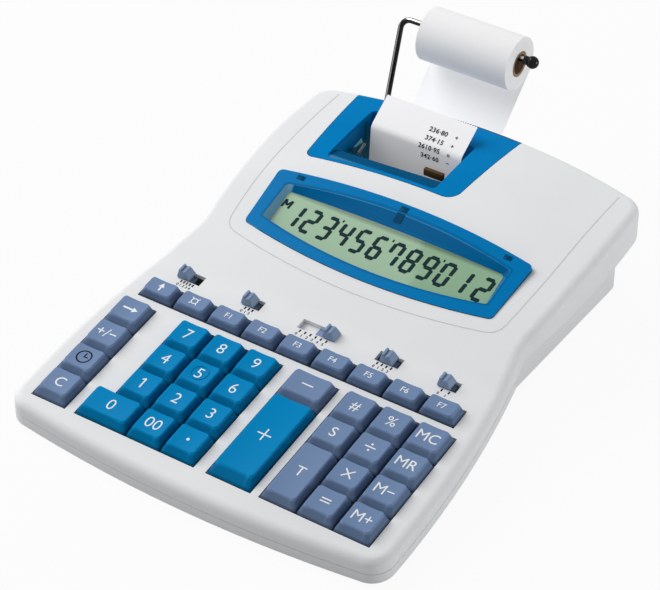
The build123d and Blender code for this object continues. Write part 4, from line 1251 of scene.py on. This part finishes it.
class CALCULATOR_OT_studio(bpy.types.Operator):
    """Set the floor, the soft light and the camera"""

    bl_idname = "calculator.studio"
    bl_label = "Studio"

    def floor(self):
        """A floor that looks almost white and takes soft shadows."""
        bm = bmesh.new()
        bmesh.ops.create_grid(bm, x_segments=1, y_segments=1, size=4.0)
        mesh = bpy.data.meshes.new("floor")
        bm.to_mesh(mesh)
        bm.free()
        made = bpy.data.objects.new("floor", mesh)
        bpy.context.scene.collection.objects.link(made)
        finish = Finish("floor")
        seen = finish.node("LightPath", output="Is Camera Ray")
        through = finish.node("LightPath", output="Is Transmission Ray")
        glow = finish.tree.nodes.new("ShaderNodeEmission")
        glow.inputs["Strength"].default_value = 1.0
        blend = finish.tree.nodes.new("ShaderNodeMixShader")
        feed(finish.tree, blend.inputs[0], (seen + through).clamped() * FLOOR_SHOWN)
        finish.surface(Base_Color=FLOOR_COLOUR, Roughness=0.9)
        finish.tree.links.new(finish.shader.outputs[0], blend.inputs[1])
        finish.tree.links.new(glow.outputs[0], blend.inputs[2])
        finish.tree.links.new(blend.outputs[0], finish.tree.nodes["Material Output"].inputs["Surface"])
        mesh.materials.append(finish.material)

    def world(self, scene):
        """White to look at, dimmer as a light."""
        world = bpy.data.worlds.new("studio")
        scene.world = world
        world.use_nodes = True
        tree = world.node_tree
        sky = tree.nodes["Background"]
        paths = tree.nodes.new("ShaderNodeLightPath")
        seen = Wire(tree, paths.outputs["Is Camera Ray"])
        through = Wire(tree, paths.outputs["Is Transmission Ray"])
        shown = (seen + through).clamped()
        feed(tree, sky.inputs["Strength"], shown * (1 - SKY_LIGHT) + SKY_LIGHT)
        sky.inputs["Color"].default_value = (1.0, 1.0, 1.0, 1.0)

    def lamp(self, name, place, aim, size, power):
        """A round soft lamp."""
        lamp = bpy.data.lights.new(name, "AREA")
        lamp.shape = "DISK"
        lamp.size = size
        lamp.energy = power
        made = bpy.data.objects.new(name, lamp)
        made.location = place
        made.rotation_euler = (Vector(aim) - Vector(place)).to_track_quat("-Z", "Y").to_euler()
        bpy.context.scene.collection.objects.link(made)

    def camera(self, scene):
        """The camera in front of the right half, looking down."""
        lens = bpy.data.cameras.new("camera")
        lens.sensor_fit = "HORIZONTAL"
        lens.sensor_width = 36.0
        lens.lens = VIEW_LENS
        made = bpy.data.objects.new("camera", lens)
        turn, lift = radians(VIEW_AZIMUTH), radians(VIEW_ELEVATION)
        away = Vector((sin(turn) * cos(lift), -cos(turn) * cos(lift), sin(lift)))
        made.location = VIEW_TARGET + away * VIEW_DISTANCE
        made.rotation_euler = away.to_track_quat("Z", "Y").to_euler()
        scene.collection.objects.link(made)
        scene.camera = made

    def execute(self, context):
        scene = context.scene
        scene.view_settings.view_transform = "Standard"
        self.floor()
        self.world(scene)
        self.lamp("key_light", *KEY_LIGHT)
        self.lamp("side_light", *SIDE_LIGHT)
        self.camera(scene)
        return {"FINISHED"}


STEPS = (CALCULATOR_OT_case, CALCULATOR_OT_key_caps, CALCULATOR_OT_key_legends, CALCULATOR_OT_switches,
         CALCULATOR_OT_display, CALCULATOR_OT_paper, CALCULATOR_OT_printer, CALCULATOR_OT_studio)


class CALCULATOR_PT_parts(bpy.types.Panel):
    """Lists what dresses the calculator"""

    bl_idname = "CALCULATOR_PT_parts"
    bl_label = "Desk Calculator"
    bl_space_type = "VIEW_3D"
    bl_region_type = "UI"
    bl_category = "Calculator"

    def draw(self, context):
        for step in STEPS:
            self.layout.operator(step.bl_idname)
        for group in (context.scene.calculator_colours, context.scene.calculator_sizes):
            column = self.layout.column(align=True)
            for name in group.__annotations__:
                column.prop(group, name)


CLASSES = (CalculatorColours, CalculatorSizes, *STEPS, CALCULATOR_PT_parts)


def register():
    for each in CLASSES:
        bpy.utils.register_class(each)
    bpy.types.Scene.calculator_colours = PointerProperty(type=CalculatorColours)
    bpy.types.Scene.calculator_sizes = PointerProperty(type=CalculatorSizes)


def unregister():
    del bpy.types.Scene.calculator_sizes
    del bpy.types.Scene.calculator_colours
    for each in reversed(CLASSES):
        bpy.utils.unregister_class(each)


def main():
    """Build the pieces in order."""
    register()
    for step in STEPS:
        family, name = step.bl_idname.split(".")
        getattr(getattr(bpy.ops, family), name)()


if __name__ == "__main__":
    main()
